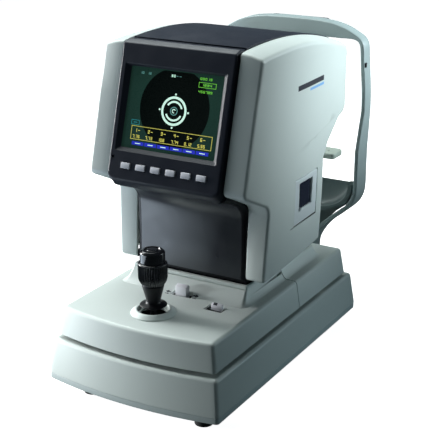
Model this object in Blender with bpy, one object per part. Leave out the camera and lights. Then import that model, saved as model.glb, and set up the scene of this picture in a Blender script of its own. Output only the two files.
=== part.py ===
"""Desktop autorefractor: fixed base with face frame, sliding stage with joystick, lifting optical head.

Frame: metres, +Z up, +X to the operator's right, -Y towards the operator, +Y towards the patient.
The origin is on the table under the middle of the instrument.
"""
import math

import bmesh
import bpy
from mathutils import Matrix, Vector

# ---------------------------------------------------------------- driving dimensions
GAP = 0.0003                    # running gap between touching pieces
WALL = 0.003                    # moulded cover thickness

# tiers: (height, half width, front corner y, rear y)
BASE_LOW = (0.036, 0.1315, -0.236, 0.186)
BASE_TOP = (0.085, 0.1255, -0.2295, 0.180)
STAGE_LOW = (0.0905, 0.1215, -0.225, 0.166)
STAGE_TOP = (0.129, 0.1155, -0.220, 0.1625)
BOW = 0.014                     # how far the front edge bows out between its corners
CORNER = 0.0055                 # plan radius of the tier corners
TIER_EDGE = 0.0045              # rounding along the top edge of a tier
STAGE_SEAM_Y = 0.010

PLATE_LOW = 0.027
PLATE_INSET = 0.0005
FOOT_RADIUS = 0.0125
FOOT_X = 0.088
FOOT_Y = (-0.1975, 0.150)

# cross slide under the stage
AXLE_Z = 0.066
AXLE_RADIUS = 0.005
WHEEL_RADIUS = 0.012
WHEEL_X = 0.108
TRACK_HALF = 0.062
BUSH_X = 0.022

# stage controls
STICK_Y = -0.177
STICK_PIVOT_Z = 0.110
LEVER_Y = -0.1055
STAGE_KEY = (0.064, -0.127)

# head
HEAD_INNER = 0.0863             # side covers start here
HEAD_OUTER = 0.118
TOP_HALF = 0.084                # dark centre strip and display bezel
HEAD_LOW = 0.158
HEAD_FRONT_LOW = (-0.086, HEAD_LOW)
HEAD_STEP = (-0.079, 0.262)
HEAD_JUT = (-0.147, 0.294)
HEAD_BROW = (-0.1015, 0.4655)
HEAD_CREST_Y = -0.025
HEAD_CREST_Z = 0.4690
HEAD_REAR_Y = 0.186
CROWN_DROP = 0.007
REAR_ROUND = 0.022
OPTIC_Z = 0.380

# display bezel plane: foot of the plane and its lean
BEZEL_FOOT = (-0.155, 0.293)
BEZEL_LEAN = math.atan2(0.048, 0.172)
RECESS = (-0.0765, 0.0745, 0.0395, 0.1525)
DISPLAY = (-0.0665, 0.0665, 0.0475, 0.1490)
KEY_PITCH = 0.0228
KEY_HEIGHT = 0.0208
KEY_SIZE = (0.0140, 0.0078)

# lift
COLUMN_Y = 0.006
COLUMN_HALF = 0.018
SCREW_Y = 0.060

# face frame and chinrest
FRAME_SIDE = 0.1235
FRAME_BAND = 0.006
MARK_X = 0.1197                 # the uprights lean in, so the eye marks sit here
ARCH_LOW = 0.4345               # flat underside of the arch
TOP_STAND = 0.0015              # the dark top stands proud of the side covers
CHIN_Y = 0.218
CUP_TOP = 0.256
CUP_HALF = 0.0745
BOWL_HALF = 0.113
BOWL_WALL = 0.0050
# right half of the wall behind the bowl, just inside the band: (x, z), foot to top
BOWL_BACK = [(0.0508, 0.1330), (0.0620, 0.1470), (0.0772, 0.1628), (0.0939, 0.1759), (0.1060, 0.1870),
             (0.1129, 0.1980), (0.1162, 0.2105)]

# printer on the operator's right
DOOR = (-0.004, 0.070, 0.214, 0.280)
DOOR_HINGE_X = 0.1155
DOOR_SEAM = 0.0016              # open seam under the door, which lets it swing out
ROLL_CENTRE = (0.028, 0.246)


# ---------------------------------------------------------------- building blocks
def clear_scene():
    for obj in list(bpy.data.objects):
        bpy.data.objects.remove(obj, do_unlink=True)


def material(name, colour, roughness, metallic=0.0):
    mat = bpy.data.materials.new(name)
    mat.use_nodes = True
    shader = mat.node_tree.nodes["Principled BSDF"]
    shader.inputs["Base Color"].default_value = (*colour, 1.0)
    shader.inputs["Roughness"].default_value = roughness
    shader.inputs["Metallic"].default_value = metallic
    return mat


def place(name, bm, mat, origin=(0.0, 0.0, 0.0), parent=None, smooth=True):
    """Turn a mesh drawn in world coordinates into an object whose origin is at `origin`."""
    bmesh.ops.remove_doubles(bm, verts=bm.verts, dist=1e-6)
    bmesh.ops.recalc_face_normals(bm, faces=bm.faces)
    bmesh.ops.translate(bm, verts=bm.verts, vec=-Vector(origin))
    mesh = bpy.data.meshes.new(name)
    bm.to_mesh(mesh)
    bm.free()
    if smooth:
        mesh.shade_smooth()
        mesh.set_sharp_from_angle(angle=math.radians(35))
    obj = bpy.data.objects.new(name, mesh)
    obj.location = origin
    obj.parent = parent
    bpy.context.scene.collection.objects.link(obj)
    if mat:
        mesh.materials.append(mat)
    return obj


def cutter(name, bm, parent=None):
    obj = place(name, bm, None, parent=parent, smooth=False)
    obj.hide_render = True
    obj.display_type = "WIRE"
    return obj


def boolean(obj, other, operation):
    mod = obj.modifiers.new(other.name, "BOOLEAN")
    mod.object = other
    mod.operation = operation
    mod.solver = "EXACT"


def cut(obj, bm):
    boolean(obj, cutter(f"{obj.name}.cut{len(obj.modifiers)}", bm, obj.parent), "DIFFERENCE")


def keep(obj, bm):
    boolean(obj, cutter(f"{obj.name}.keep{len(obj.modifiers)}", bm, obj.parent), "INTERSECT")


def join(obj, bm):
    boolean(obj, cutter(f"{obj.name}.join{len(obj.modifiers)}", bm, obj.parent), "UNION")


def block(low, high, bevel=0.0, segments=2):
    bm = bmesh.new()
    bmesh.ops.create_cube(bm, size=1.0)
    size = Vector(high) - Vector(low)
    centre = (Vector(high) + Vector(low)) / 2
    bmesh.ops.scale(bm, vec=size, verts=bm.verts)
    bmesh.ops.translate(bm, vec=centre, verts=bm.verts)
    if bevel:
        bmesh.ops.bevel(bm, geom=bm.edges[:], offset=bevel, segments=segments, profile=0.5,
                        affect="EDGES", clamp_overlap=True)
    return bm


def loft(rings, closed=False):
    """Skin a list of point rings; the ends are capped, or joined to each other when closed."""
    bm = bmesh.new()
    loops = [[bm.verts.new(point) for point in ring] for ring in rings]
    pairs = list(zip(loops, loops[1:]))
    if closed:
        pairs.append((loops[-1], loops[0]))
    for lower, upper in pairs:
        count = len(lower)
        for i in range(count):
            j = (i + 1) % count
            bm.faces.new((lower[i], lower[j], upper[j], upper[i]))
    if not closed:
        bm.faces.new(loops[0])
        bm.faces.new(loops[-1])
    return bm


def prism(outline, axis, start, end):
    """Extrude a 2-D outline along X, Y or Z."""
    slot = "XYZ".index(axis)
    rings = []
    for level in (start, end):
        rings.append([(*point[:slot], level, *point[slot:]) for point in outline])
    return loft(rings)


def turned(profile, centre=(0.0, 0.0, 0.0), axis="Z", steps=24):
    """Revolve (radius, height) points; a profile that starts and ends on the axis is solid."""
    solid = profile[0][0] == 0.0 and profile[-1][0] == 0.0
    rings = []
    for radius, height in (profile[1:-1] if solid else profile):
        turn = [math.tau * k / steps for k in range(steps)]
        rings.append([(radius * math.cos(a), radius * math.sin(a), height) for a in turn])
    bm = loft(rings, closed=not solid)
    if axis == "X":
        bmesh.ops.rotate(bm, verts=bm.verts, matrix=Matrix.Rotation(math.radians(90), 3, "Y"))
    if axis == "Y":
        bmesh.ops.rotate(bm, verts=bm.verts, matrix=Matrix.Rotation(math.radians(-90), 3, "X"))
    bmesh.ops.translate(bm, vec=Vector(centre), verts=bm.verts)
    return bm


def rod(radius, start, end, centre=(0.0, 0.0, 0.0), axis="Z", steps=20):
    return turned([(0.0, start), (radius, start), (radius, end), (0.0, end)], centre, axis, steps)


def fillet(points, steps=4):
    """Round the corners of an outline given as (a, b, radius)."""
    outline = []
    count = len(points)
    for i, (a, b, radius) in enumerate(points):
        here = Vector((a, b))
        if radius == 0.0:
            outline.append((a, b))
            continue
        to_last = (Vector(points[i - 1][:2]) - here).normalized()
        to_next = (Vector(points[(i + 1) % count][:2]) - here).normalized()
        half = to_last.angle(to_next) / 2
        reach = radius / math.tan(half)
        centre = here + (to_last + to_next).normalized() * radius / math.sin(half)
        first = here + to_last * reach - centre
        sweep = first.angle_signed(here + to_next * reach - centre)
        for k in range(steps + 1):
            turn = -sweep * k / steps
            c, s = math.cos(turn), math.sin(turn)
            outline.append((centre.x + first.x * c - first.y * s, centre.y + first.x * s + first.y * c))
    return outline


def offset(outline, distance):
    """Move an outline's points inwards along their mitred normals; the outline runs anticlockwise."""
    moved = []
    count = len(outline)
    for i in range(count):
        last = Vector(outline[i - 1])
        here = Vector(outline[i])
        following = Vector(outline[(i + 1) % count])
        before = (here - last).normalized()
        after = (following - here).normalized()
        normal = (Vector((-before.y, before.x)) + Vector((-after.y, after.x))).normalized()
        stretch = max(normal.dot(Vector((-before.y, before.x))), 0.5)
        shifted = here + normal * distance / stretch
        moved.append((shifted.x, shifted.y))
    return moved


# ---------------------------------------------------------------- tier shells
def tier_outline(level, inset=0.0, bow_points=6):
    """Plan outline of a tier at one level, anticlockwise, with a bowed front edge."""
    _, half, front, rear = level
    half, front, rear = half - inset, front + inset, rear - inset
    radius = max(CORNER - inset, 0.002)
    corners = [(half, rear, radius), (-half, rear, radius), (-half, front, radius)]
    for k in range(1, bow_points):
        x = -half + 2 * half * k / bow_points
        corners.append((x, front - BOW * (1 - (x / half) ** 2), 0.0))
    corners.append((half, front, radius))
    return fillet(corners)


def between(low, high, z):
    t = (z - low[0]) / (high[0] - low[0])
    return tuple(a + (b - a) * t for a, b in zip(low, high))


def tier_ring(low, high, z, inset=0.0):
    return [(x, y, z) for x, y in tier_outline(between(low, high, z), inset)]


def tier_shell(low, high, edge_steps=3):
    """Open-bottomed cover with draft on its sides and a rounded top edge."""
    rings = [tier_ring(low, high, high[0] - WALL, WALL), tier_ring(low, high, low[0], WALL)]
    rings.append(tier_ring(low, high, low[0]))
    for k in range(edge_steps + 1):
        turn = math.pi / 2 * k / edge_steps
        z = high[0] - TIER_EDGE * (1 - math.sin(turn))
        rings.append(tier_ring(low, high, z, TIER_EDGE * (1 - math.cos(turn))))
    return loft(rings)


# ---------------------------------------------------------------- base
def build_base(mats):
    low = between(BASE_LOW, BASE_TOP, BASE_LOW[0])
    plate = [[(x, y, z) for x, y in tier_outline(low, PLATE_INSET)] for z in (PLATE_LOW, BASE_LOW[0] - GAP)]
    place("base_plate", loft(plate), mats["plate"])

    cover = place("base_cover", tier_shell(BASE_LOW, BASE_TOP), mats["cover"])
    cut(cover, block((-0.078, -0.060, 0.070), (0.078, 0.060, 0.090)))
    cut(cover, block((-0.1095, 0.170, 0.0485), (-0.0805, 0.195, 0.0705)))
    cut(cover, block((-0.0745, 0.170, 0.0515), (-0.0595, 0.195, 0.0735)))

    for side, x in (("left", -FOOT_X), ("right", FOOT_X)):
        for end, y in zip(("front", "rear"), FOOT_Y):
            profile = [(0.0, 0.0), (FOOT_RADIUS - 0.0015, 0.0), (FOOT_RADIUS, 0.0015), (FOOT_RADIUS, 0.009),
                       (0.011, 0.012), (0.007, 0.013), (0.007, PLATE_LOW - GAP), (0.0, PLATE_LOW - GAP)]
            place(f"foot_{end}_{side}", turned(profile, (x, y, 0.0)), mats["rubber"])
        track = block((x * WHEEL_X / FOOT_X - 0.004, -TRACK_HALF, BASE_LOW[0]),
                      (x * WHEEL_X / FOOT_X + 0.004, TRACK_HALF, AXLE_Z - WHEEL_RADIUS - GAP))
        place(f"track_{side}", track, mats["steel"])

    place("power_supply", block((-0.096, 0.082, BASE_LOW[0]), (-0.020, 0.158, 0.078), 0.002), mats["steel"])
    build_power_inlet(mats)
    build_power_switch(mats)


def build_power_inlet(mats):
    """Mains inlet: flanged block with an open socket, through the base cover's rear wall."""
    inlet = place("power_inlet", block((-0.1090, 0.160, 0.0490), (-0.0810, 0.1880, 0.0700)), mats["black"])
    join(inlet, block((-0.1120, 0.1850, 0.0465), (-0.0780, 0.1885, 0.0725)))
    cut(inlet, block((-0.1055, 0.168, 0.0525), (-0.0845, 0.192, 0.0665)))


def build_power_switch(mats):
    """Rocker that tilts about X at the rear of the base."""
    rocker = [(0.176, 0.0535), (0.187, 0.0535), (0.1855, 0.0625), (0.187, 0.0715), (0.176, 0.0715)]
    place("power_switch", prism(rocker, "X", -0.0735, -0.0605), mats["black"], origin=(-0.067, 0.178, 0.0625))


# ---------------------------------------------------------------- face frame and chinrest
def frame_path():
    """Right half of the face frame seen from the front: (x, z, band thickness), foot to crown."""
    path = [(0.0505, 0.090, FRAME_BAND), (0.0515, 0.112, FRAME_BAND), (0.057, 0.126, FRAME_BAND),
            (0.068, 0.142, 0.007), (0.083, 0.157, 0.007), (0.099, 0.170, 0.007), (0.112, 0.182, 0.007),
            (0.120, 0.195, 0.007), (FRAME_SIDE, 0.211, 0.0065)]
    for x, z in ((FRAME_SIDE, 0.270), (FRAME_SIDE, 0.330), (0.1228, 0.360), (MARK_X, 0.398), (0.1181, 0.421),
                 (0.1160, 0.4298), (0.1110, 0.4364)):
        path.append((x, z, FRAME_BAND))
    arch = [(0.1033, 0.4413), (0.0950, 0.4457), (0.0872, 0.4493), (0.0750, 0.4531), (0.0630, 0.4556),
            (0.0450, 0.4575), (0.0250, 0.4584)]
    for before, (x, z) in zip([(0.1110, 0.4364)] + arch, arch):
        slope = Vector((before[0] - x, z - before[1])).normalized()
        path.append((x, z, (z - ARCH_LOW) / slope.x))
    path.append((0.0, 0.4587, 0.4587 - ARCH_LOW))
    return path


def frame_depth(z):
    """Front and rear y of the band: the uprights step towards the operator below the chinrest."""
    t = min(max((z - 0.270) / 0.060, 0.0), 1.0)
    return 0.192 + 0.018 * t, 0.228 + 0.006 * t


def build_face_frame(mats):
    half = frame_path()
    path = [(-x, z, band) for x, z, band in half] + [(x, z, band) for x, z, band in reversed(half[:-1])]
    rings = []
    for i, (x, z, band) in enumerate(path):
        before = Vector(path[max(i - 1, 0)][:2])
        after = Vector(path[min(i + 1, len(path) - 1)][:2])
        along = (after - before).normalized()
        inward = Vector((along.y, -along.x)) * band
        front, rear = frame_depth(z)
        ease = 0.002
        section = [(0.0, front + ease), (0.0, rear - ease), (0.25, rear), (1.0, rear), (1.0, front),
                   (0.25, front)]
        rings.append([(x + inward.x * t, y, z + inward.y * t) for t, y in section])
    place("face_frame", loft(rings), mats["frame"])

    place("frame_bracket", build_bracket(), mats["frame"])
    bracket = bpy.data.objects["frame_bracket"]
    cut(bracket, block((-0.038, 0.193, 0.031), (0.038, 0.235, 0.1145)))
    cut(bracket, rod(0.0052, 0.110, 0.125, (0.0, CHIN_Y, 0.0)))

    for side, x in (("left", -MARK_X - GAP), ("right", MARK_X + GAP)):
        tip = x + math.copysign(0.0015, x)
        mark = prism([(x, 0.2122), (tip, 0.2132), (tip, 0.2162), (x, 0.2172)], "Z", 0.3945, 0.4015)
        place(f"eye_mark_{side}", mark, mats["black"])

    pad = block((-0.050, 0.2343, 0.4350), (0.050, 0.2500, 0.4570), 0.004)
    place("forehead_pad", pad, mats["pad"])


def build_bracket():
    """Upright channel behind the base that carries the frame's legs and the chinrest."""
    outline = fillet([(0.0418, 0.1878, 0.004), (0.0418, 0.228, 0.004), (-0.0418, 0.228, 0.004),
                      (-0.0418, 0.1878, 0.004)])
    return prism(outline, "Z", PLATE_LOW, 0.118)


def build_chinrest(mats):
    rim = bowl_arc(0.1950, BOWL_HALF, 0.2170, 0.0490)
    back = [(x, 0.2275, 0.2085) for x, _, _ in rim]
    inner_rim = [(x * 0.955, y, z + BOWL_WALL) for x, y, z in rim]
    inner_back = [(x * 0.955, y - 0.0025, z + BOWL_WALL) for x, y, z in back]
    bowl = place("chin_bowl", bowl_solid(rim, back, inner_rim, inner_back), mats["frame"])
    join(bowl, prism(BOWL_BACK + [(-x, z) for x, z in reversed(BOWL_BACK)], "Y", 0.2246, 0.2271))
    cut(bowl, block((-0.024, 0.2030, 0.120), (0.024, 0.240, 0.240)))

    housing = block((-0.0235, 0.2035, 0.1183), (0.0235, 0.2350, 0.2100), 0.003)
    housing = place("chinrest_housing", housing, mats["cover"])
    cut(housing, block((-0.0165, CHIN_Y - 0.0105, 0.1220), (0.0165, CHIN_Y + 0.0105, 0.2200)))
    cut(housing, rod(0.0050, 0.110, 0.130, (0.0, CHIN_Y, 0.0)))

    place("chinrest_motor", rod(0.0150, 0.058, 0.1120, (0.0, CHIN_Y - 0.004, 0.0)), mats["steel"])
    screw_foot, screw_top = 0.1122 + GAP, 0.205
    screw = build_screw(0.0036, screw_foot, screw_top)
    place("chinrest_screw", screw, mats["steel"], (0.0, CHIN_Y, screw_foot))

    cup = place("chin_cup", build_cup(), mats["cup"], (0.0, CHIN_Y, 0.235))
    join(cup, block((-0.0160, CHIN_Y - 0.0100, 0.1480), (0.0160, CHIN_Y + 0.0100, 0.2500)))
    cut(cup, rod(0.0042, 0.140, 0.235, (0.0, CHIN_Y, 0.0)))
    for x in (-0.058, 0.058):
        cut(cup, rod(0.0018, 0.240, 0.270, (x, 0.2320, 0.0), steps=10))
    cut(cup, turned([(0.0, 0.0), (0.030, 0.0), (0.036, 0.012), (0.0, 0.012)], (0.0, 0.243, 0.2515)))


def build_screw(radius, low, high):
    """Lead screw with a pinned collar at its foot."""
    profile = [(0.0, low), (radius, low), (radius, high - 0.001), (radius - 0.001, high), (0.0, high)]
    return turned(profile, (0.0, CHIN_Y, 0.0), steps=12)


def bowl_arc(y, half, top, drop, steps=8):
    """U-shaped edge of the bowl, squarer than an ellipse, hung from its two ends."""
    arc = []
    for k in range(steps * 2 + 1):
        turn = math.pi * k / (steps * 2)
        across = math.copysign(abs(math.cos(turn)) ** (2 / 3), math.cos(turn))
        arc.append((half * across, y, top - drop * math.sin(turn) ** (2 / 3)))
    return arc


def bowl_solid(rim, back, inner_rim, inner_back):
    """Thin curved wall between the bowl's front rim and its straight back edge."""
    bm = bmesh.new()
    grids = []
    for front_edge, back_edge in ((rim, back), (inner_rim, inner_back)):
        rows = []
        for k in range(5):
            t = k / 4
            lift = t * t
            row = [Vector(a).lerp(Vector(b), t) for a, b in zip(front_edge, back_edge)]
            for point, a, b in zip(row, front_edge, back_edge):
                point.z = a[2] + (b[2] - a[2]) * lift
            rows.append([bm.verts.new(point) for point in row])
        grids.append(rows)
    outer, inner = grids
    last = len(rim) - 1
    for rows in grids:
        for lower, upper in zip(rows, rows[1:]):
            for i in range(last):
                bm.faces.new((lower[i], lower[i + 1], upper[i + 1], upper[i]))
    for a, b in ((outer[0], inner[0]), (outer[-1], inner[-1])):
        for i in range(last):
            bm.faces.new((a[i], a[i + 1], b[i + 1], b[i]))
    for end in (0, last):
        for k in range(4):
            bm.faces.new((outer[k][end], outer[k + 1][end], inner[k + 1][end], inner[k][end]))
    return bm


def build_cup():
    """Chin plate with rounded corners."""
    outline = fillet([(CUP_HALF, 0.214, 0.0055), (CUP_HALF, 0.250, 0.008), (-CUP_HALF, 0.250, 0.008),
                      (-CUP_HALF, 0.214, 0.0055)])
    rings = []
    for z, inset in ((0.2470, 0.0015), (0.2485, 0.0), (CUP_TOP - 0.0015, 0.0), (CUP_TOP, 0.0015)):
        rings.append([(x, y, z) for x, y in offset(outline, inset)])
    return loft(rings)


# ---------------------------------------------------------------- cross slide
def build_carriage(mats):
    outer = [(-0.098, 0.038), (0.098, 0.038), (0.098, 0.076), (0.088, 0.076), (0.088, 0.046),
             (-0.088, 0.046), (-0.088, 0.076), (-0.098, 0.076)]
    frame = place("carriage_frame", prism(outer, "Y", -0.010, 0.010), mats["alloy"], (0.0, 0.0, AXLE_Z))
    cut(frame, rod(AXLE_RADIUS + 0.0004, -0.105, 0.105, (0.0, 0.0, AXLE_Z), "X"))

    inner, outer_face = WHEEL_X - 0.004, WHEEL_X + 0.004
    profile = [(0.0, -outer_face), (WHEEL_RADIUS, -outer_face), (WHEEL_RADIUS, -inner), (AXLE_RADIUS, -inner),
               (AXLE_RADIUS, inner), (WHEEL_RADIUS, inner), (WHEEL_RADIUS, outer_face), (0.0, outer_face)]
    place("cross_axle", turned(profile, (0.0, 0.0, AXLE_Z), "X", 28), mats["steel"], (0.0, 0.0, AXLE_Z))


# ---------------------------------------------------------------- stage
def opening_ring(half, front, rear, z, front_z=None):
    """Rectangle around the head's well; the front pair of points may sit at another height."""
    front_z = z if front_z is None else front_z
    corner = 0.004
    return [(half, rear, z), (-half, rear, z), (-half, front + corner, z), (-half, front, front_z),
            (half, front, front_z), (half, front + corner, z)]


def build_stage(mats):
    plate = [[(x, y, z) for x, y in tier_outline((z, 0.108, -0.208, 0.150))] for z in (0.0870, 0.0930)]
    plate = place("stage_plate", loft(plate), mats["black"])
    for x in (-BUSH_X, BUSH_X):
        join(plate, block((x - 0.006, -0.009, 0.0545), (x + 0.006, 0.009, 0.0900)))
    cut(plate, rod(AXLE_RADIUS + 0.0004, -0.040, 0.040, (0.0, 0.0, AXLE_Z), "X"))
    cut(plate, rod(0.020, 0.080, 0.100, (0.0, STICK_Y, 0.0)))

    curb = loft([opening_ring(0.0985, -0.108, 0.124, 0.1275),
                 opening_ring(0.0905, -0.0895, 0.116, 0.142, 0.146),
                 opening_ring(0.0890, -0.0870, 0.1145, 0.1425, 0.151),
                 opening_ring(0.0855, -0.0815, 0.1115, 0.142, 0.151),
                 opening_ring(0.0855, -0.0815, 0.1115, 0.1260)], closed=True)
    for name, y_low, y_high in (("stage_cover_front", -0.300, STAGE_SEAM_Y - GAP / 2),
                                ("stage_cover_rear", STAGE_SEAM_Y + GAP / 2, 0.200)):
        cover = place(name, tier_shell(STAGE_LOW, STAGE_TOP), mats["cover"])
        cut(cover, block((-0.087, -0.084, 0.1200), (0.087, 0.113, 0.1350)))
        join(cover, curb.copy())
        keep(cover, block((-0.200, y_low, 0.080), (0.200, y_high, 0.200)))
    curb.free()
    front = bpy.data.objects["stage_cover_front"]
    cut(front, rod(0.0175, 0.115, 0.140, (0.0, STICK_Y, 0.0)))
    cut(front, block((-0.0135, LEVER_Y - 0.0095, 0.1240), (0.0165, LEVER_Y + 0.0035, 0.1450)))
    key_x, key_y = STAGE_KEY
    cut(front, block((key_x - 0.0135, key_y - 0.0085, 0.1200), (key_x + 0.0135, key_y + 0.0085, 0.1350)))

    ring = turned([(0.0205, 0.1292 + GAP), (0.0300, 0.1292 + GAP), (0.0300, 0.1305), (0.0235, 0.1345),
                   (0.0215, 0.1345), (0.0205, 0.1330)], (0.0, STICK_Y, 0.0), steps=32)
    place("joystick_bezel", ring, mats["cover"])

    lever = [(LEVER_Y - 0.0075, 0.1210), (LEVER_Y - 0.0075, 0.1400), (LEVER_Y + 0.0010, 0.1440),
             (LEVER_Y + 0.0025, 0.1420), (LEVER_Y + 0.0025, 0.1210)]
    place("lock_lever", prism(lever, "X", -0.0070, 0.0100), mats["white"], (0.0, LEVER_Y, 0.130))
    key = block((key_x - 0.0125, key_y - 0.0075, 0.1185), (key_x + 0.0125, key_y + 0.0075, 0.1262), 0.0012)
    key = place("stage_key", key, mats["white"], (key_x, key_y, 0.125))
    join(key, block((key_x - 0.0075, key_y + 0.0010, 0.1260), (key_x + 0.0085, key_y + 0.0070, 0.1345)))

    column = block((-COLUMN_HALF, COLUMN_Y - COLUMN_HALF, 0.0930 + GAP),
                   (COLUMN_HALF, COLUMN_Y + COLUMN_HALF, 0.2350), 0.002)
    place("guide_column", column, mats["steel"])
    place("lift_motor", rod(0.0180, 0.0930 + GAP, 0.1380, (0.0, SCREW_Y, 0.0), steps=24), mats["steel"])
    screw = turned([(0.0, 0.1380 + GAP), (0.0040, 0.1380 + GAP), (0.0040, 0.2390), (0.0030, 0.2400),
                    (0.0, 0.2400)], (0.0, SCREW_Y, 0.0), steps=12)
    place("lift_screw", screw, mats["steel"], (0.0, SCREW_Y, 0.138))


def build_joystick(mats):
    centre = (0.0, STICK_Y, 0.0)
    pivot = (0.0, STICK_Y, STICK_PIVOT_Z)
    gimbal = turned([(0.0085, 0.106), (0.0125, 0.106), (0.0125, 0.114), (0.0085, 0.114)], centre, steps=20)
    place("joystick_gimbal", gimbal, mats["steel"], pivot)

    stick = [(0.0, 0.0875), (0.0050, 0.0890), (0.0078, 0.0945), (0.0058, 0.1005), (0.0045, 0.1030),
             (0.0045, 0.1385), (0.0200, 0.1395), (0.0205, 0.1415), (0.0185, 0.1430), (0.0118, 0.1450),
             (0.0118, 0.1480), (0.0155, 0.1680), (0.0155, 0.1700), (0.0080, 0.1700), (0.0080, 0.1980),
             (0.0, 0.1980)]
    place("joystick_stick", turned(stick, centre, steps=24), mats["black"], pivot)

    grip = [(0.0084, 0.1703), (0.0160, 0.1703), (0.0190, 0.1725), (0.0200, 0.1790), (0.0200, 0.1970),
            (0.0190, 0.1990), (0.0150, 0.2000), (0.0084, 0.2000)]
    place("joystick_grip", turned(grip, centre, steps=32), mats["black"], (0.0, STICK_Y, 0.170))
    button = [(0.0, 0.2003), (0.0078, 0.2003), (0.0078, 0.2025), (0.0160, 0.2035), (0.0172, 0.2060),
              (0.0172, 0.2130), (0.0150, 0.2165), (0.0100, 0.2175), (0.0, 0.2175)]
    place("joystick_button", turned(button, centre, steps=28), mats["black"], (0.0, STICK_Y, 0.2003))


# ---------------------------------------------------------------- head covers
def crest(y):
    """Height of the head's top along its centre line."""
    fall = 0.00077 if y > HEAD_CREST_Y else 0.00050
    return HEAD_CREST_Z - fall * (1000 * (y - HEAD_CREST_Y)) ** 2 / 1000


def head_profile():
    """Side outline of the head, anticlockwise seen from +X: bottom front, rear, top, front."""
    rear_top = crest(HEAD_REAR_Y)
    corners = [(*HEAD_FRONT_LOW, 0.0), (0.094, 0.166, 0.006), (0.098, 0.278, 0.0), (0.1045, 0.304, 0.012),
               (0.150, 0.333, 0.010), (HEAD_REAR_Y, 0.342, 0.010), (HEAD_REAR_Y, rear_top, 0.012)]
    for y in (0.150, 0.110, 0.070, 0.030, -0.010, -0.050, -0.080):
        corners.append((y, crest(y), 0.0))
    corners += [(*HEAD_BROW, 0.004), (*HEAD_JUT, 0.009), (*HEAD_STEP, 0.016)]
    return fillet(corners, 3)


def head_half_width(y, z, full):
    """Outer half width: bowed in plan, rounded off at the rear, drawn in towards the bottom."""
    half = full - 0.010 * (max(y + 0.060, 0.0) / 0.246) ** 2
    half -= 0.004 * max((0.250 - z) / 0.090, 0.0)
    rear = HEAD_REAR_Y if z > 0.335 else 0.096 + max(z - 0.290, 0.0) * 2.0
    reach = REAR_ROUND if z > 0.335 else 0.010
    short = max(y - (rear - reach), 0.0)
    return half - (reach - math.sqrt(max(reach ** 2 - min(short, reach) ** 2, 0.0))) * 0.7


def head_form(inset=0.0):
    """Solid head shape; `inset` gives the form of its inner faces."""
    outline = offset(head_profile(), inset) if inset else head_profile()
    full = HEAD_OUTER - inset
    edge = 0.0045
    rings = []
    for x, shrink in ((-full, edge), (-full + edge * 0.3, edge * 0.3), (-full + edge, 0.0),
                      (full - edge, 0.0), (full - edge * 0.3, edge * 0.3), (full, edge)):
        rings.append([(x, y, z) for y, z in (offset(outline, shrink) if shrink else outline)])
    bm = loft(rings)
    for y in (-0.040, 0.020, 0.070, 0.086, 0.094, 0.110, 0.135, 0.155, 0.166, 0.174, 0.180, 0.184):
        slice_mesh(bm, (0.0, y, 0.0), (0.0, 1.0, 0.0))
    for x in (0.096, 0.107):
        slice_mesh(bm, (x, 0.0, 0.0), (1.0, 0.0, 0.0))
        slice_mesh(bm, (-x, 0.0, 0.0), (1.0, 0.0, 0.0))
    for z in (0.250, 0.300, 0.334, 0.336):
        slice_mesh(bm, (0.0, 0.0, z), (0.0, 0.0, 1.0))
    for vert in bm.verts:
        warp_head(vert, full)
    return bm


def slice_mesh(bm, point, normal):
    geometry = bm.verts[:] + bm.edges[:] + bm.faces[:]
    bmesh.ops.bisect_plane(bm, geom=geometry, plane_co=point, plane_no=normal, dist=1e-6)


def warp_head(vert, full):
    x, y, z = vert.co
    out = max((abs(x) - HEAD_INNER) / (HEAD_OUTER - HEAD_INNER), 0.0)
    vert.co.x = x * head_half_width(y, z, full) / full
    top = min(max((z - 0.400) / 0.030, 0.0), 1.0)
    vert.co.z = z - CROWN_DROP * out ** 2 * top


def raised(bm):
    bmesh.ops.translate(bm, verts=bm.verts, vec=(0.0, 0.0, TOP_STAND))
    return bm


def build_head_covers(mats):
    for side, sign in (("left", -1), ("right", 1)):
        shell = place(f"side_cover_{side}", head_form(), mats["cover"])
        cut(shell, head_form(WALL))
        inner, far = sorted((sign * HEAD_INNER, sign * 0.200))
        keep(shell, block((inner, -0.200, 0.100), (far, 0.300, 0.500)))
        low_inner, low_far = sorted((sign * 0.0800, sign * (HEAD_OUTER - 0.009)))
        cut(shell, block((low_inner, -0.081, 0.140), (low_far, 0.088, 0.168)))
        if side == "right":
            y0, y1, z0, z1 = DOOR
            cut(shell, block((0.095, y0, z0 - DOOR_SEAM), (0.140, y1, z1)))

    top = place("top_cover", raised(head_form()), mats["dark"])
    cut(top, raised(head_form(WALL)))
    keep(top, block((-TOP_HALF, -0.0835, 0.4300), (TOP_HALF, 0.1640, 0.5000)))

    rear = place("rear_cover", head_form(), mats["cover"])
    cut(rear, head_form(WALL))
    keep(rear, prism([(0.0885, 0.150), (0.250, 0.150), (0.250, 0.500), (0.1645, 0.500), (0.1645, 0.360),
                      (0.0885, 0.300)], "X", -HEAD_INNER + GAP, HEAD_INNER - GAP))
    cut(rear, rod(0.0225, 0.150, 0.210, (0.0, 0.0, OPTIC_Z), "Y"))

    build_bezel(mats)
    build_lower_panel(mats)
    build_skirt(mats)


def bezel_frame():
    """Empty at the foot of the display plane: local Z runs up the plane, local Y runs into the head."""
    frame = bpy.data.objects.new("bezel_frame", None)
    frame.location = (0.0, *BEZEL_FOOT)
    frame.rotation_euler = (-BEZEL_LEAN, 0.0, 0.0)
    bpy.context.scene.collection.objects.link(frame)
    return frame


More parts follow.
